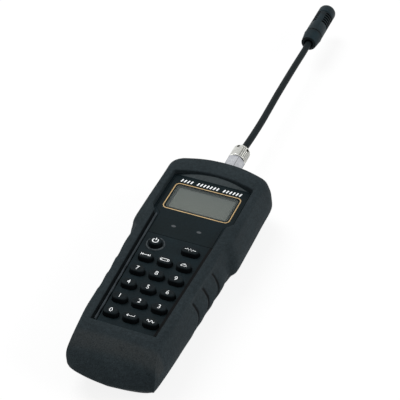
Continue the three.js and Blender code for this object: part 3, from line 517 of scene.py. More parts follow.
# Boot
boot = {
    "halfLength": 101, "halfWidth": 38.5, "depth": 39.5,
    # width share, length share, corner share
    "outline": [
        (0, -1, 0), (0.26, -0.99, 0), (0.49, -0.973, 0.1), (0.64, -0.953, 0.35), (0.7, -0.936, 0.75),
        (0.718, -0.929, 1), (0.731, -0.921, 0.7),
        (0.753, -0.892, 0.5), (0.787, -0.8, 0.15), (0.817, -0.66, 0), (0.838, -0.53, 0), (0.871, -0.37, 0),
        (0.892, -0.232, 0), (0.915, -0.078, 0), (0.924, 0, 0), (0.921, 0.09, 0), (0.92, 0.125, 0),
        (0.93, 0.163, 0), (0.991, 0.205, 0), (1, 0.27, 0), (1, 0.45, 0), (0.997, 0.65, 0),
        (0.993, 0.77, 0.25), (0.975, 0.84, 0.8), (0.925, 0.889, 1), (0.83, 0.925, 1), (0.67, 0.953, 0.6),
        (0.465, 0.979, 0.2), (0.235, 0.995, 0), (0, 1, 0),
    ],
    "rowSteps": (0.45, 1.4, 2.4),  # along the outline: fine, middle and coarse
    "footStart": -60, "headStart": 66, "cornerReach": 1.7,
    "gripFoot": (-75, -28.3), "gripHead": {1: (13, 24), -1: (13, 21)},
    # height share, head, grip and foot width, foot and head reach, dent, foot, head and left foot corner
    "levels": [
        (0, 0.751, 0.741, 0.751, 0.842, 0.906, 0.6, 0, 0, 0),
        (0.03, 0.791, 0.781, 0.791, 0.861, 0.921, 0.8, 0.15, 0.2, 0),
        (0.228, 0.902, 0.89, 0.907, 0.932, 0.965, 1.2, 0.3, 0.6, 0),
        (0.367, 0.974, 0.962, 0.98, 0.975, 0.99, 1.15, 0.8, 0.6, 0),
        (0.4633, 1, 0.985, 1.013, 0.997, 1, 1, 0.95, 0.5, 0),
        (0.582, 0.993, 0.964, 1.011, 0.984, 0.992, 1, 1, 0.5, 0.35),
        (0.747, 0.955, 0.921, 0.973, 0.945, 0.972, 0.8, 1, 0.85, 0.8),
        (0.894, 0.912, 0.877, 0.927, 0.876, 0.952, 0.5, 0.75, 0.85, 0.75),
        (0.967, 0.887, 0.854, 0.9, 0.822, 0.942, 0, 0.5, 0.3, 0.5),
        (1, 0.855, 0.821, 0.867, 0.78, 0.928, 0, 0.4, 0, 0.4),
    ],
    "heights": [0, 0.35, 0.8, 1.4, 3, 5, 7, 9, 11, 12.8, 14.4, 15.8, 17, 18.1, *range(19, 37), 36.8, 37.5, 38,
                38.4, 38.75, 39.05, 39.3, 39.45, 39.5],
    # the three finger creases of a flank: rows of (height, place along the body)
    "creases": [
        [(9, -12), (14.5, -10.4), (18.3, -8), (20.9, -5.6), (24, -3.2), (29.6, -3.3), (34.8, -5.6), (38, -8)],
        [(9, -26), (14.5, -24), (18.3, -20.6), (20.9, -17.6), (24, -16.6), (28, -17.4), (33.6, -19.9),
         (38, -23)],
        [(9, -40.5), (14.5, -38.6), (18.3, -34.8), (20.9, -32), (24, -31.2), (28, -32.1), (33.6, -34.3),
         (38, -37)],
    ],
    "dish": [(-13, 0), (-7, 0.4), (-1.5, 1.4), (0.4, 1.6), (1.6, 0.2), (3, 0)],  # hollow: distance, depth
    "leftLean": 8,  # how much nearer the foot the left creases end at the top
    "leanRise": (27, 38),
    "leftDent": 0.5, "leftDentTop": (39.3, 38.4),
    # the dark line in each crease, a shallow groove with painted shade on it: where it lies at its most, and
    # rows of height, way to the foot
    "linePlaces": (-1, -15.3, -30),
    "lineBow": [(12, 7), (15, 4.6), (18, 2.1), (20.7, 0.6), (23.5, 0), (28, 1.3), (32, 2.8), (34.8, 4.3)],
    "lineHalf": 1.25, "lineDepth": 0.4, "lineFoot": (9, 13), "lineTop": (34.8, 33.2),
    "lineLoss": 0.8, "lossHeights": (26, 20),
    "waistDish": [(-1, 0), (0.6, 1.1), (3, 1), (7, 0.5), (11, 0)],
    "waistPlace": (17, 22.4),  # right, left
    "waistFoot": (5, 13), "waistTop": (32, 26), "leftWaist": 0.6, "leftWaistTop": (36, 32),
    "scoop": 1.4,  # how far the waist is drawn in low on the flanks
    "scoopFoot": (16, 18.5), "scoopHead": (31, 25), "scoopTop": (14.6, 10.5), "scoopBack": (2, 0),
    "window": [(21.2, -72.5), (24.9, 34), (28.3, 37.4)],
    "windowHead": 75, "windowRise": 5.2, "windowSteps": 24, "windowMiddle": (-58, 60),
    "windowRound": [(1.3, 39.5), (0.75, 39.42), (0.3, 39.15), (0.06, 38.7), (0, 38.1), (0, 36.8), (0, 35.6)],
    "backWindow": [(18.15, -73.3), (18.15, -12.2)],
    "backMiddle": (-58, -27),
    "backRound": [(0, 3.3), (0, 1.2), (0.15, 0.5), (0.6, 0)],
    # the hollow: height, width, foot and head shares
    "hollow": [(35.6, 0.801, 0.797, 0.915), (29.5, 0.852, 0.889, 0.935), (18.3, 0.922, 0.963, 0.965),
               (9, 0.821, 0.896, 0.931), (3.3, 0.751, 0.837, 0.891)],
    "holeRadius": 8.4, "holeFoot": 91.9, "holeHead": 104,
    # what is painted: shade on the creases' lines from here outwards, shade on the window's left wall, a
    # lighter band on the foot's top where its slope begins
    "paintedHalf": 24, "paintedFoot": 3,
    "darkWall": ((-25.5, -19), (-72, 33), (35.7, 38.8)), "wallShade": 0.85,
    "scuff": 0.5, "scuffHead": (-80, -84), "scuffFoot": (-93, -88), "scuffHeight": 24,
}


def bootOutline():
    # the outline's rows: closest on the grip and the foot's corners, then at the ends and the waist
    rows = boot["outline"]
    fine, middle, coarse = boot["rowSteps"]
    places = [Vector((row[0] * boot["halfWidth"], row[1] * boot["halfLength"])) for row in rows]
    knots = [0]
    for before, after in zip(places, places[1:]):
        knots.append(knots[-1] + (after - before).length)
    picked = []
    along = 0
    while along < knots[-1] - 0.6:
        row = easyRow(knots, rows, along)
        picked.append(row)
        y = row[1] * boot["halfLength"]
        if -52 < y < 1 or (y < -88 and row[0] > 0.62):
            along += fine
        else:
            along += middle if abs(y) > 66 or 8 < y < 28 else coarse
    picked.append(list(rows[-1]))
    return picked


def bootRing(rows, height, level):
    # one level of the boot, drawn in from the widest outline
    headWidth, gripWidth, footWidth, footReach, headReach, dent, footCorner, headCorner, leftCorner = level
    halfLength, footStart, headStart = boot["halfLength"], boot["footStart"], boot["headStart"]
    sides = []
    for side, lowCorner in ((1, footCorner), (-1, leftCorner)):
        half = []
        for widthShare, lengthShare, cornerShare in rows:
            y = lengthShare * halfLength
            share = footWidth + ease(*boot["gripFoot"], y) * (gripWidth - footWidth)
            share += ease(*boot["gripHead"][side], y) * (headWidth - gripWidth)
            corner = cornerShare * boot["cornerReach"] * (lowCorner if y < 0 else headCorner)
            for start, reach in ((footStart, -footReach * halfLength), (headStart, headReach * halfLength)):
                if (y - start) * start > 0:
                    y = start + (y - start) * (reach - start) / (math.copysign(halfLength, start) - start)
            x = side * (widthShare * boot["halfWidth"] * share + corner)
            half.append(Vector((x, y + math.copysign(corner, y), height)))
        sides.append(half)
    return sides[0] + sides[1][-2:0:-1]


def creaseAt(point):
    # how deep the finger creases cut at a point, and how much painted shade their line gets
    left = point.x < 0
    lean = boot["leftLean"] * ease(*boot["leanRise"], point.z) if left else 0
    waist = easyCurve(boot["waistDish"], boot["waistPlace"][left] - point.y)
    if left:
        waist *= boot["leftWaist"] * ease(*boot["leftWaistTop"], point.z)
    else:
        waist *= ease(*boot["waistTop"], point.z) * ease(*boot["waistFoot"], point.z)
    hollows = [easyCurve(boot["dish"], easyCurve(curve, point.z) - lean - point.y)
               for curve in boot["creases"]]
    toFoot = easyCurve(boot["lineBow"], point.z) + lean
    gap = min(abs(place - toFoot - point.y) for place in boot["linePlaces"])
    line = max(0, min(1, 1.6 - 1.6 * gap / boot["lineHalf"]))
    line *= ease(*boot["lineFoot"], point.z) * ease(*boot["lineTop"], point.z)
    return max(0, waist, *hollows), line


def towards(point, centreLow, centreHigh, shape, inset):
    # where the line from the middle of a window to a point of the boot crosses the window's edge
    centre = Vector((0, max(centreLow, min(centreHigh, point.y))))
    ray = (Vector((point.x, point.y)) - centre).normalized()
    best = None
    for start, end in zip(shape, shape[1:] + shape[:1]):
        side = end - start
        across = ray.x * side.y - ray.y * side.x
        if abs(across) < 1e-9:
            continue
        gap = start - centre
        reach = (gap.x * side.y - gap.y * side.x) / across
        share = (gap.x * ray.y - gap.y * ray.x) / across
        if reach > 0 and -1e-6 <= share <= 1 + 1e-6 and (best is None or reach < best):
            best = reach
    return centre + ray * (best + inset)


def mirrored(half):
    # a half outline and its mirror image, in one turn
    return half + [Vector((-point.x, point.y)) for point in half[::-1]]


def windowShape():
    head, rise, steps = boot["window"][-1][0], boot["windowRise"], boot["windowSteps"]
    radius = (head * head + rise * rise) / (2 * rise)
    sweep = math.asin(head / radius)
    top = boot["windowHead"] + rise - radius
    half = [Vector(point) for point in boot["window"]]
    for step in range(steps + 1):
        angle = sweep * (1 - step / steps)
        half.append(Vector((radius * math.sin(angle), top + radius * math.cos(angle))))
    return mirrored(half)


def edgeRings(ring, middle, shape, rounding):
    # the rings that lead a boot's level to a window's edge and into the window
    rings = []
    for inset, height in rounding:
        flat = [towards(point, *middle, shape, inset) for point in ring]
        rings.append([Vector((point.x, point.y, height)) for point in flat])
    return rings


def bootSkin(rows):
    # the outer rings, from the back to the front
    knots = [row[0] * boot["depth"] for row in boot["levels"]]
    levels = [row[1:] for row in boot["levels"]]
    skin = []
    for height in boot["heights"]:
        level = easyRow(knots, levels, height)
        ring = bootRing(rows, height, level)
        for point in ring:
            depth, line = creaseAt(point)
            dent = level[5]
            if point.x < 0:
                dent = max(dent, boot["leftDent"] * ease(*boot["leftDentTop"], point.z))
            faint = 1 - boot["lineLoss"] * ease(*boot["lossHeights"], point.z)
            low = ease(*boot["scoopTop"], point.z) * (1 - 0.5 * ease(*boot["scoopBack"], point.z))
            scoop = boot["scoop"] * low * ease(*boot["scoopFoot"], point.y)
            cut = depth * dent + line * boot["lineDepth"] * faint
            cut += scoop * ease(*boot["scoopHead"], point.y)
            point.x -= math.copysign(min(cut, abs(point.x)), point.x)
        skin.append(ring)
    return skin


def makeBoot():
    rows = bootOutline()
    skin = bootSkin(rows)
    rings = skin + edgeRings(skin[-1], boot["windowMiddle"], windowShape(), boot["windowRound"])
    for height, width, foot, head in boot["hollow"]:
        rings.append(bootRing(rows, height, (width, width, width, foot, head, 0, 0, 0, 0)))
    back = mirrored([Vector(point) for point in boot["backWindow"]])
    rings += edgeRings(skin[0], boot["backMiddle"], back, boot["backRound"])
    rings.append(rings[0])
    bm = cleaned(loft(rings))
    radius, foot, head = boot["holeRadius"], boot["holeFoot"], boot["holeHead"]
    hole = lathe([(0, foot), (radius, foot), (radius, head), (0, head)], 64)
    bm = combine(bm, toProbe(hole), "DIFFERENCE")

    # painted shade: the creases' dark lines, and the window's left wall where the boot's lip shades it
    def creaseShare(point):
        if all(low < place < high for place, (low, high) in zip(point, boot["darkWall"])):
            return boot["wallShade"]
        outside = point.z > boot["paintedFoot"] and abs(point.x) > boot["paintedHalf"]
        return creaseAt(point)[1] if outside else 0

    # a lighter band on the foot's top, where its slope begins, above the given height
    def scuffShare(point):
        patch = ease(*boot["scuffHead"], point.y) * ease(*boot["scuffFoot"], point.y)
        return patch * boot["scuff"] if point.z > boot["scuffHeight"] else 0

    paintSkin(bm, "crease", creaseShare)
    paintSkin(bm, "scuff", scuffShare)
    finishPiece("boot", bm, "rubber", "meter", ["holster"], 50)


makeBoot()
print("boot made")


# Rails along the keypad, one with a painted highlight and one with painted shade, thin strips of painted
# shadow beside them, the face under the brow with painted light, the ring round the power key with painted
# highlights
trim = {
    "foot": -69.4, "level": 35.3, "rise": 1.16, "bend": 0.15, "sunk": 0.1,
    # rows of side, outer and inner place, head: the rail with a painted highlight, the rail with painted
    # shade, the strips of painted shadow beside them
    "rails": [(-1, 0.74, 1.9, 33.1)],
    "shaded": [(1, 0.7, 1.9, 14.6)],
    "gaps": [(1, 1.9, 3.2, 14.6), (-1, 0, 0.74, 33.1)],
    "gapLift": 0.04,
    "browFoot": 75.4, "browLift": 0.06, "browSlope": 0.478, "browInset": 1.4, "browThick": 0.03,
    "browDrop": 0.4,  # as a share of the inset
    # the ring's section: radius, height
    "ring": [(6.3, -0.2), (6.05, 0.66), (5.95, 0.76), (5.45, 0.76), (5.35, 0.66), (5.1, -0.2)],
}


def makeStrips(name, finish, strips, high):
    # low strips along the window's sides
    footPoint, headPoint = boot["window"][:2]
    slope = (headPoint[0] - footPoint[0]) / (headPoint[1] - footPoint[1])
    sunk, bend = trim["sunk"], min(trim["bend"], high / 2)
    bm = bmesh.new()
    for side, outer, inner, head in strips:
        section = ((outer, -sunk), (outer, high - bend), (outer + bend, high),
                   (inner - bend, high), (inner, high - bend), (inner, -sunk))
        rings = []
        for y in (trim["foot"], head):
            edge = footPoint[0] + (y - footPoint[1]) * slope
            rings.append([Vector((side * (edge - away), y, trim["level"] + height))
                          for away, height in section])
        addMesh(bm, capped(loft(rings)))
    finishPiece(name, bm, finish, "meter")


def makeBrow():
    foot, inset = trim["browFoot"], trim["browInset"]
    drop = inset * trim["browDrop"]
    narrow = 1 - inset / boot["window"][2][0]
    bm = bmesh.new()
    verts = [bm.verts.new((point.x * narrow, max(foot, point.y - drop), 0))
             for point in windowShape() if point.y > foot + drop]
    bmesh.ops.triangulate(bm, faces=[bm.faces.new(verts)])
    bmesh.ops.subdivide_edges(bm, edges=bm.edges[:], cuts=1)
    for vert in bm.verts:
        vert.co.z = trim["level"] + trim["browLift"] + (vert.co.y - foot) * trim["browSlope"]
    bmesh.ops.solidify(bm, geom=bm.faces[:], thickness=trim["browThick"])
    bmesh.ops.recalc_face_normals(bm, faces=bm.faces)
    # a thin sheet over the brow in a lighter copy of the housing's tone: painted light on the slope that
    # faces the light
    finishPiece("brow_face", bm, "browFace", "meter")


def makeRing():
    low, high = (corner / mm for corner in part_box("key_power"))
    centre = ((low.x + high.x) / 2, (low.y + high.y) / 2, trim["level"])
    ring = lathe(trim["ring"], 48, True)
    bmesh.ops.translate(ring, vec=centre, verts=ring.verts)
    # a skin over the ring's ridge in a blotched lighter tone: painted highlights on the ridge
    finishPiece("power_ring", ring, "ringFace", "meter")


# the left rail's top takes a painted highlight
makeStrips("side_rail", "railEdge", trim["rails"], trim["rise"])
# painted shade on the right rail, and thin dark strips of painted shadow beside the rails
makeStrips("shaded_rail", "darkPart", trim["shaded"], trim["rise"])
makeStrips("side_gaps", "darkPart", trim["gaps"], trim["gapLift"])
makeBrow()
makeRing()
print("trim made")


# Keys
keyCap = {
    "segments": 32, "flange": 0.7, "flangeHeight": 1, "taper": 0.35, "edge": 0.95, "crown": 0.35,
    "crownSteps": ((0.7, 0.6), (0.8, 0.3), (0.7, 0.1)),  # inset, share of the crown's height
    "shadeTop": 0.1, "shadeFoot": 1.1,  # painted shade on the key's sides: how far under the crown it starts and is full
}
keyNodes = sorted(name for name in frame["nodes"] if name.startswith("key_"))


def makeKey(name):
    low, high = (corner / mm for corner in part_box(name))
    centreX, centreY = (low.x + high.x) / 2, (low.y + high.y) / 2
    flange, taper, crown = keyCap["flange"], keyCap["taper"], keyCap["crown"]
    halfX, halfY = (high.x - low.x) / 2 - flange, (high.y - low.y) / 2 - flange
    reach = max(0, halfX - halfY)
    bm = bmesh.new()
    bmesh.ops.create_circle(bm, cap_ends=True, segments=keyCap["segments"], radius=halfY + flange)
    for vert in bm.verts:
        if abs(vert.co.x) > 0.01:
            vert.co.x += math.copysign(reach, vert.co.x)
    bmesh.ops.translate(bm, vec=(centreX, centreY, low.z), verts=bm.verts)
    bottom = bm.faces[:][0]
    bmesh.ops.reverse_faces(bm, faces=[bottom])
    top = raised(bm, bottom, keyCap["flangeHeight"])
    bmesh.ops.inset_region(bm, faces=[top], thickness=flange, depth=0)
    grown = raised(bm, top, high.z - low.z - keyCap["flangeHeight"] - crown)
    middle = Matrix.Translation(-grown.calc_center_bounds())
    shrink = (1 - taper / halfX, 1 - taper / halfY, 1)
    bmesh.ops.scale(bm, vec=shrink, verts=list(grown.verts), space=middle)
    roundEdges(bm, list(grown.edges), keyCap["edge"], 4)
    top = max(bm.faces, key=lambda face: (round(face.calc_center_bounds().z, 3), face.calc_area()))
    for thickness, lift in keyCap["crownSteps"]:
        bmesh.ops.inset_region(bm, faces=[top], thickness=thickness, depth=crown * lift)
    cleaned(bm)
    rim = high.z - crown
    # painted shade: the key's sides darker below the crown, where less light falls
    paintSkin(bm, "crease", lambda point: ease(rim - keyCap["shadeTop"], rim - keyCap["shadeFoot"], point.z))
    surface = BVHTree.FromBMesh(bm)
    finishPiece(name.replace("key_", "cap_"), bm, "keys", name, [name], 40)
    return surface, centreX, centreY


def strokeMesh(lines, width, isClosed=False):
    # ribbons along lines of points, round in section, about the origin
    data = bpy.data.curves.new("stroke", "CURVE")
    data.dimensions = "3D"
    data.bevel_depth = width / 2
    data.bevel_resolution = 2
    data.use_fill_caps = True
    for points in lines:
        spline = data.splines.new("POLY")
        spline.points.add(len(points) - 1)
        for point, (x, y) in zip(spline.points, points):
            point.co = (x, y, 0, 1)
        spline.use_cyclic_u = isClosed
    return readBack(addObject("stroke", data))


def textMesh(text, size):
    data = bpy.data.curves.new("legend", "FONT")
    data.body = text
    data.size = size
    data.align_x = "CENTER"
    data.align_y = "CENTER"
    data.offset = -size * 0.008
    data.extrude = 0.05
    return readBack(addObject("legend", data))


def layOn(bm, surface, x, y, flat, lift):
    # lays a flat mesh on a key, a little above its crown
    for vert in bm.verts:
        thick = vert.co.z * flat
        vert.co += Vector((x, y, 0))
        hit = surface.ray_cast(Vector((vert.co.x, vert.co.y, 60)), Vector((0, 0, -1)))[0]
        vert.co.z = (hit.z if hit else 0) + thick + lift


def arc(radius, start, end, steps, x=0, y=0):
    angles = [math.radians(start + (end - start) * step / steps) for step in range(steps + 1)]
    return [(x + radius * math.cos(angle), y + radius * math.sin(angle)) for angle in angles]


legends = {
    "digits": ["zero", "one", "two", "three", "four", "five", "six", "seven", "eight", "nine"],
    "digitSize": 4.6, "digitFlat": 0.3, "lift": 0.03,
    "stroke": 0.36, "powerStroke": 0.6, "strokeFlat": 0.15,
    "lines": {
        "width": [[(-3, -0.9), (-3, 0.9)], [(3, -0.9), (3, 0.9)], [(-2.4, 0), (2.4, 0)],
                  [(-1.6, 0.7), (-2.4, 0), (-1.6, -0.7)], [(1.6, 0.7), (2.4, 0), (1.6, -0.7)]],
        "span": [arc(0.95, 90, 270, 8, -2) + arc(0.95, -90, 90, 8, 2) + [(-2, 0.95)],
                 arc(0.2, 0, 360, 8, -2), arc(0.2, 0, 360, 8, 2)],
        "mass": [[(-1.9, -1), (1.9, -1), (1.3, 0.55), (-1.3, 0.55), (-1.9, -1)],
                 [(-0.5, 0.55), (-0.5, 1), (0.5, 1), (0.5, 0.55)]],
        "measure": [[(-3.8, 0), (-2.7, 0), (-2, 1), (-1, -1), (0, 1), (1, -1), (1.8, 0.6), (2.4, 0),
                     (3.8, 0)]],
        "select": [[(2.6, 0.9), (2.6, -0.2), (-2.4, -0.2)], [(-1.5, 0.7), (-2.4, -0.2), (-1.5, -1.1)]],
        "hertz": [[(-2.4 + 0.2 * step, 0.85 * math.sin(step * math.tau / 12)) for step in range(25)]],
        "power": [arc(1.85, 130, 410, 24), [(0, 0.5), (0, 2.3)]],
    },
}


def makeLegend(name, surface, x, y):
    short = name.replace("key_", "")
    if short in legends["digits"]:
        bm = textMesh(str(legends["digits"].index(short)), legends["digitSize"])
        bmesh.ops.triangulate(bm, faces=bm.faces)
        flat = legends["digitFlat"]
    else:
        bm = strokeMesh(legends["lines"][short], legends["powerStroke" if short == "power" else "stroke"])
        flat = legends["strokeFlat"]
    layOn(bm, surface, x, y, flat, legends["lift"])
    finishPiece("legend_" + short, bm, "whiteInk", name)


for name in keyNodes:
    makeLegend(name, *makeKey(name))
print("keys made:", len(keyNodes))


# Display: gold line round the window, a scale of ticks above it, two faint marks
display = {
    "gold": (23.2, 41.2, 67.4, 3),  # half width, foot, head, corner
    "goldWidth": 0.7,
    "tickPlace": 70.8, "tickHalf": 20.9, "tickCount": 19, "tickBare": (4, 12), "tickReach": 1.4,
    "tickLean": 0.3, "tickWidth": 0.95,
    "marks": [(-8.5, 26), (9, 26.4)], "markHalf": (1.6, 1),
    "flat": 0.12, "lift": 0.03,
}


def roundedBox(half, foot, head, corner):
    side, low, high = half - corner, foot + corner, head - corner
    points = []
    for turn, (x, y) in enumerate(((side, high), (-side, high), (-side, low), (side, low))):
        points += arc(corner, 90 * turn, 90 * turn + 90, 6, x, y)
    return points


def makeDisplay():
    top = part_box("display_panel")[1].z / mm
    gold = strokeMesh([roundedBox(*display["gold"])], display["goldWidth"], True)
    ticks = []
    place, reach, count = display["tickPlace"], display["tickReach"], display["tickCount"]
    for step in range(count):
        x = display["tickHalf"] * (2 * step / (count - 1) - 1)
        away = display["tickLean"] * reach
        if step not in display["tickBare"]:
            ticks.append([(x - away, place - reach), (x + away, place + reach)])
    scale = strokeMesh(ticks, display["tickWidth"])
    marks = bmesh.new()
    for x, y in display["marks"]:
        stand = Matrix.Translation((x, y, 0)) @ Matrix.Diagonal((*display["markHalf"], 1, 1))
        bmesh.ops.create_circle(marks, cap_ends=True, segments=20, radius=1, matrix=stand)
    for name, bm, finish in (("gold_line", gold, "goldInk"), ("tick_scale", scale, "whiteInk"),
                             ("plate_marks", marks, "greyInk")):
        for vert in bm.verts:
            vert.co.z = vert.co.z * display["flat"] + top + display["lift"]
        finishPiece(name, bm, finish, "meter")


makeDisplay()
print("display dressed")

# Coupling nut and plug sleeve
nut = {
    "foot": 102.6, "tip": 117.2, "across": 12.4, "turn": 23.4, "chamfer": 0.8, "bore": 4.9,
    "footInset": 0.2, "tipInset": 0.3, "edge": 0.18, "edgeAngle": 25, "cornerWidth": 0.45,
    "cornerShade": 0.75, "steps": 72,
}
sleeve = {
    # radius and place along the axis, under and over the knurl
    "lowRows": [(4.5, 118), (5.9, 118), (6.25, 118.25)],
    "highRows": [(6.2, 129.4), (5.05, 131.15), (4.8, 131.4), (2.82, 131.4), (2.62, 131.2), (2.62, 124.2),
                 (4.5, 124.2)],
    "radius": 6.35, "steps": 228, "row": 0.25,
    "knurlFoot": 118.6, "knurlTip": 129.2, "knurlCount": 28, "knurlDepth": 0.45, "knurlShade": 0.8,
    "crossPitch": 1.5, "crossDepth": 0.14, "bare": (-75, 9),  # the plain side round the screw, in degrees
    "screwPlace": 127.8, "screwAngles": (-0.33, 0.93), "screwRadius": 0.95, "screwDepth": 4,
}


def makeCoupling():
    foot, tip, bore, edge = (nut[part] for part in ("foot", "tip", "bore", "chamfer"))
    flat = nut["across"] / 2
    corner = flat / math.cos(math.pi / 6)
    bm = bmesh.new()
    bmesh.ops.create_circle(bm, cap_ends=True, segments=6, radius=corner)
    stand = Matrix.Rotation(math.radians(nut["turn"]), 3, "Z")
    bmesh.ops.rotate(bm, cent=(0, 0, 0), matrix=stand, verts=bm.verts)
    bmesh.ops.translate(bm, vec=(0, 0, foot), verts=bm.verts)
    grown = bmesh.ops.extrude_face_region(bm, geom=bm.faces[:])["geom"]
    verts = [part for part in grown if isinstance(part, bmesh.types.BMVert)]
    bmesh.ops.translate(bm, vec=(0, 0, tip - foot), verts=verts)
    bmesh.ops.recalc_face_normals(bm, faces=bm.faces)
    shape = [(bore, foot), (flat - nut["footInset"], foot), (corner, foot + edge), (corner, tip - edge),
             (flat - nut["tipInset"], tip), (bore, tip)]
    bm = combine(bm, lathe(shape, nut["steps"], True), "INTERSECT")
    corners = [line for line in bm.edges if abs(line.verts[0].co.z - line.verts[1].co.z) > (tip - foot) / 2
               and math.hypot(*line.verts[0].co.xy) > flat + 0.3]
    roundEdges(bm, corners, nut["cornerWidth"], 2)

    # painted shade: a dark line along each corner of the hex
    def cornerShare(point):
        angle = math.degrees(math.atan2(point.y, point.x)) - 90 - nut["turn"]
        off = abs((angle + 30) % 60 - 30)
        return nut["cornerShade"] if off < 1 and math.hypot(*point.xy) > flat else 0

    paintSkin(bm, "crease", cornerShare)
    obj = finishPiece("coupling_hex", toProbe(bm), "nickel", "coupling_nut", ["coupling_nut"], 20)
    addBevel(obj, nut["edge"], nut["edgeAngle"])


def cutKnurl(bm):
    # fine furrows along the sleeve and across it, with painted shade in them
    foot, tip, depth = sleeve["knurlFoot"], sleeve["knurlTip"], sleeve["knurlDepth"]
    shade = bm.verts.layers.float.new("crease")
    for vert in bm.verts:
        reach = math.hypot(vert.co.x, vert.co.y)
        angle = math.degrees(math.atan2(vert.co.x, -vert.co.y))  # from +Z towards +X once it stands
        outside = reach >= sleeve["radius"] - 0.01 and foot < vert.co.z < tip
        if outside and not sleeve["bare"][0] < angle < sleeve["bare"][1]:
            turn = angle / 360 * sleeve["knurlCount"]
            climb = (vert.co.z - foot) / sleeve["crossPitch"]
            cut = max(0, 1 - 3 * abs((turn % 1) - 0.5)) * depth
            cut = max(cut, max(0, 1 - 4 * abs((climb % 1) - 0.5)) * sleeve["crossDepth"])
            vert[shade] = min(1, cut / depth) * sleeve["knurlShade"]
            vert.co.x *= 1 - cut / reach
            vert.co.y *= 1 - cut / reach


def makeSleeve():
    count = int((sleeve["knurlTip"] - sleeve["knurlFoot"]) / sleeve["row"])
    middle = [(sleeve["radius"], sleeve["knurlFoot"] + sleeve["row"] * row) for row in range(count + 1)]
    bm = lathe(sleeve["lowRows"] + middle + sleeve["highRows"], sleeve["steps"], True)
    cutKnurl(bm)
    for angle in sleeve["screwAngles"]:
        hole = bmesh.new()
        stand = Matrix.Rotation(angle - math.pi / 2, 4, "Z")
        stand = stand @ Matrix.Translation((sleeve["radius"], 0, sleeve["screwPlace"]))
        bmesh.ops.create_cone(hole, cap_ends=True, segments=24, radius1=sleeve["screwRadius"],
                              radius2=sleeve["screwRadius"], depth=sleeve["screwDepth"],
                              matrix=stand @ Matrix.Rotation(math.pi / 2, 4, "Y"))
        bm = combine(bm, hole, "DIFFERENCE")
    # painted shade: the screw holes and their edges full dark
    shade = bm.verts.layers.float["crease"]
    for angle in sleeve["screwAngles"]:
        screw = Vector((sleeve["radius"] * math.sin(angle), -sleeve["radius"] * math.cos(angle),
                        sleeve["screwPlace"]))
        for vert in bm.verts:
            if (vert.co - screw).length < sleeve["screwRadius"] * 1.2:
                vert[shade] = 1
    finishPiece("knurled_sleeve", toProbe(bm), "sleeveNickel", "probe_plug", ["plug_sleeve"], 30)


makeCoupling()
makeSleeve()
print("connector made")

# Bendable stem: how far it strays right of the probe's axis, as shares of its length and bow
stem = {
    "radius": 2.5, "foot": 124.3, "tip": 283.8, "split": 206, "bow": 1.1, "sides": 28, "step": 1.6,
    "bowShares": [(0, 0), (0.045, 0.06), (0.09, 0.4), (0.17, 0.8), (0.27, 1), (0.4, 0.74), (0.52, 0.52),
                  (0.64, 0.5), (0.75, 0.6), (0.87, 0.8), (0.94, 0.7), (1, 0.64)],
    "lowHinge": 170, "highHinge": 240, "bendHalf": 26,
    "shaded": (271.6, 274.2),  # painted shade where the stem enters the collar's mouth, growing towards the microphone
}


def stemRings(foot, tip):
    count = math.ceil((tip - foot) / stem["step"])
    circle = arc(stem["radius"], 0, 360 - 360 / stem["sides"], stem["sides"] - 1)
    rings = []
    for step in range(count + 1):
        y = foot + (tip - foot) * step / count
        share = (y - stem["foot"]) / (stem["tip"] - stem["foot"])
        bow = easyCurve(stem["bowShares"], share) * stem["bow"]
        rings.append([Vector((bow + x, y, probeHeight + z)) for x, z in circle])
    return rings


def makeStem():
    foot, split, tip = stem["foot"], stem["split"], stem["tip"]
    halves = (("stem_low", foot, split, "probe_plug", "stem", stem["lowHinge"], ["gooseneck"]),
              ("stem_high", split, tip, "stem", "microphone", stem["highHinge"], []))
    for name, foot, tip, before, after, hinge, replaced in halves:
        bm = capped(loft(stemRings(foot, tip)))
        # painted shade where the stem goes into the collar's mouth
        paintSkin(bm, "crease", lambda point: ease(*stem["shaded"], point.y))
        obj = finishPiece(name, bm, "stemSkin", None, replaced, 60)
        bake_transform(obj, before, after, (0, (hinge - stem["bendHalf"]) * mm, probeHeight * mm),
                 (0, (hinge + stem["bendHalf"]) * mm, probeHeight * mm))


makeStem()
print("stem made")

# Microphone: its sections are rows of radius and place along the axis
mic = {
    "shift": 0.704, "steps": 72, "radius": 6.88,
    "collar": [(3.45, 274.6), (3.75, 274.2), (5.4, 274.2), (5.75, 274.35), (5.95, 274.8), (6.92, 283.6),
               (7, 284.2), (7.1, 284.7), (7, 285.05), (6.45, 285.5), (2.6, 285.5), (2.6, 281.2),
               (3.45, 281.2)],
    "cap": [(0, 313.1), (6.4, 313.1), (6.75, 313.3), (6.88, 313.7), (6.88, 314.6), (6.88, 315.4),
            (6.88, 316.2), (6.88, 320.6), (6.7, 321.5), (6.2, 322.35), (5.4, 322.95), (4.4, 323.3),
            (0, 323.3)],
    "barrelLow": [(6.43, 285.8), (6.88, 286.2), (6.88, 286.5), (6.88, 287.3)],
    "barrelHigh": [(6.88, 312.45), (6.48, 312.8)],
    "liner": [(5.3, 296.3), (5.3, 313.7), (5, 313.7), (5, 296.3)],
    "wall": 1.4, "edge": 0.12, "edgeAngle": 50,
    "slotFoot": 298.3, "slotPitch": 2.9, "slotWidth": 1.8, "slotCount": 5,
    "slotHalf": 69,  # in degrees
    # painted shade at the collar's mouth, the joints and a band at the barrel's tip: rows of (place, share)
    "joints": [(274, 0.9), (274.8, 0), (283.8, 0), (284.9, 0.6), (286.2, 0.6), (287, 0), (307.7, 0),
               (309, 0.5), (311.6, 0.5), (312.8, 0), (324, 0)],
}


def makeShell(name, bm, node):
    # stands a section of the microphone on its axis, with painted shade at its joints
    def jointShare(point):
        for (low, lowShare), (high, highShare) in zip(mic["joints"], mic["joints"][1:]):
            if low <= point.y < high:
                return lowShare + (highShare - lowShare) * (point.y - low) / (high - low)
        return 0

    toProbe(bm, mic["shift"])
    paintSkin(bm, "crease", jointShare)
    return finishPiece(name, bm, "micShell", "microphone", [node], 30)


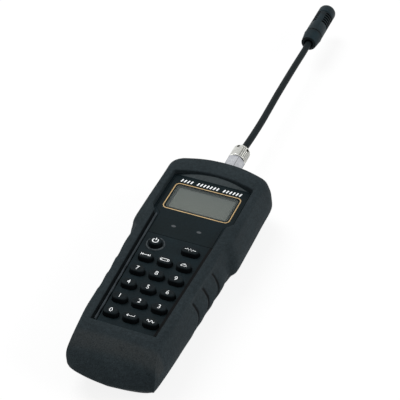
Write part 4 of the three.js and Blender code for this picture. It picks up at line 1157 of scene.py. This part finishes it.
def makeMicrophone():
    makeShell("collar_skin", lathe(mic["collar"], mic["steps"], True), "mic_collar")
    makeShell("cap_skin", lathe(mic["cap"], mic["steps"]), "mic_cap")
    starts = [mic["slotFoot"] + mic["slotPitch"] * step for step in range(mic["slotCount"])]
    slots = [(start, start + mic["slotWidth"]) for start in starts]
    middle = [(mic["radius"], edge) for slot in slots for edge in slot]
    bm = lathe(mic["barrelLow"] + middle + mic["barrelHigh"], mic["steps"])
    through = []
    for face in bm.faces:
        place = face.calc_center_median()
        angle = math.degrees(math.atan2(abs(place.y), abs(place.x)))
        if angle < mic["slotHalf"] and any(low < place.z < high for low, high in slots):
            through.append(face)
    bmesh.ops.delete(bm, geom=through, context="FACES")
    obj = makeShell("barrel_skin", bm, "mic_barrel")
    wall = obj.modifiers.new("wall", "SOLIDIFY")
    wall.thickness = mic["wall"] * mm
    wall.offset = -1
    # painted shade inside the slots: the barrel's inner faces and the slots' walls take the near-black finish
    obj.data.materials.append(made["darkPart"])
    wall.material_offset = 1
    wall.material_offset_rim = 1
    addBevel(obj, mic["edge"], mic["edgeAngle"])
    # a near-black liner behind the slots, a sheet of painted shade
    liner = toProbe(lathe(mic["liner"], 48, True), mic["shift"])
    finishPiece("slot_liner", liner, "darkPart", "microphone")


makeMicrophone()
print("microphone made")

# Floor, lamps and surroundings
studio = {
    "floorHalf": 3000,
    "floorDrop": 0.4,
    "floorTone": (240, 240, 240),
    "floorGlow": 0.85,  # the rest of the floor's light keeps the shadow
    "world": 0.42,
    # place, target, size, power
    "lamps": {
        "keyLamp": ((-600, 300, 1250), (0, 0, 0), 900, 14),
        "leftLamp": ((-1100, -450, 450), (0, 0, 0), 700, 3.6),
        "fillLamp": ((1100, 100, 600), (0, 60, 0), 900, 9.6),
    },
}
white = (1, 1, 1, 1)


def openRays(tree):
    # 1 where the background is seen straight, mirrored or through glass
    path = addNode(tree, "LightPath").outputs
    total = path["Is Camera Ray"]
    for name in ("Is Glossy Ray", "Is Transmission Ray"):
        total = addMath(tree, "MAXIMUM", total, path[name])
    return total


def mixShaders(tree, share, first, second):
    return addNode(tree, "MixShader", {0: share, 1: first, 2: second}).outputs[0]


def addFloor():
    bm = bmesh.new()
    bmesh.ops.create_grid(bm, x_segments=1, y_segments=1, size=studio["floorHalf"] * mm)
    bmesh.ops.translate(bm, vec=(0, 0, -studio["floorDrop"] * mm), verts=bm.verts)
    mesh = meshFrom("floor", bm)
    floor = addObject("floor", mesh)
    tree, shader = newMaterial("paleFloor")
    setInputs(tree, shader, {"Base Color": tone(*studio["floorTone"]), "Roughness": 0.9})
    glow = addNode(tree, "Emission", {"Strength": 1}).outputs[0]
    share = addMath(tree, "MULTIPLY", openRays(tree), studio["floorGlow"])
    above = mixShaders(tree, share, shader.outputs[0], glow)
    # seen from below, the floor is clear and the back of the tester shows
    behind = addNode(tree, "NewGeometry").outputs["Backfacing"]
    clear = addNode(tree, "BsdfTransparent").outputs[0]
    seen = mixShaders(tree, behind, above, clear)
    setInputs(tree, tree.nodes["Material Output"], {"Surface": seen})
    mesh.materials.append(made["paleFloor"])


def addLamps():
    for name, (place, target, size, power) in studio["lamps"].items():
        data = bpy.data.lights.new(name, "AREA")
        data.shape = "DISK"
        data.size = size * mm
        data.energy = power
        addObject(name, data).matrix_world = aimed(place, target)


def addWorld():
    scene.world = bpy.data.worlds.new("studio")
    scene.world.use_nodes = True
    tree = scene.world.node_tree
    dim = setInputs(tree, tree.nodes["Background"], {"Color": white, "Strength": studio["world"]})
    bright = addNode(tree, "Background", {"Color": white, "Strength": 1})
    seen = mixShaders(tree, openRays(tree), dim.outputs[0], bright.outputs[0])
    setInputs(tree, tree.nodes["World Output"], {"Surface": seen})


addFloor()
addLamps()
addWorld()
print("studio made")
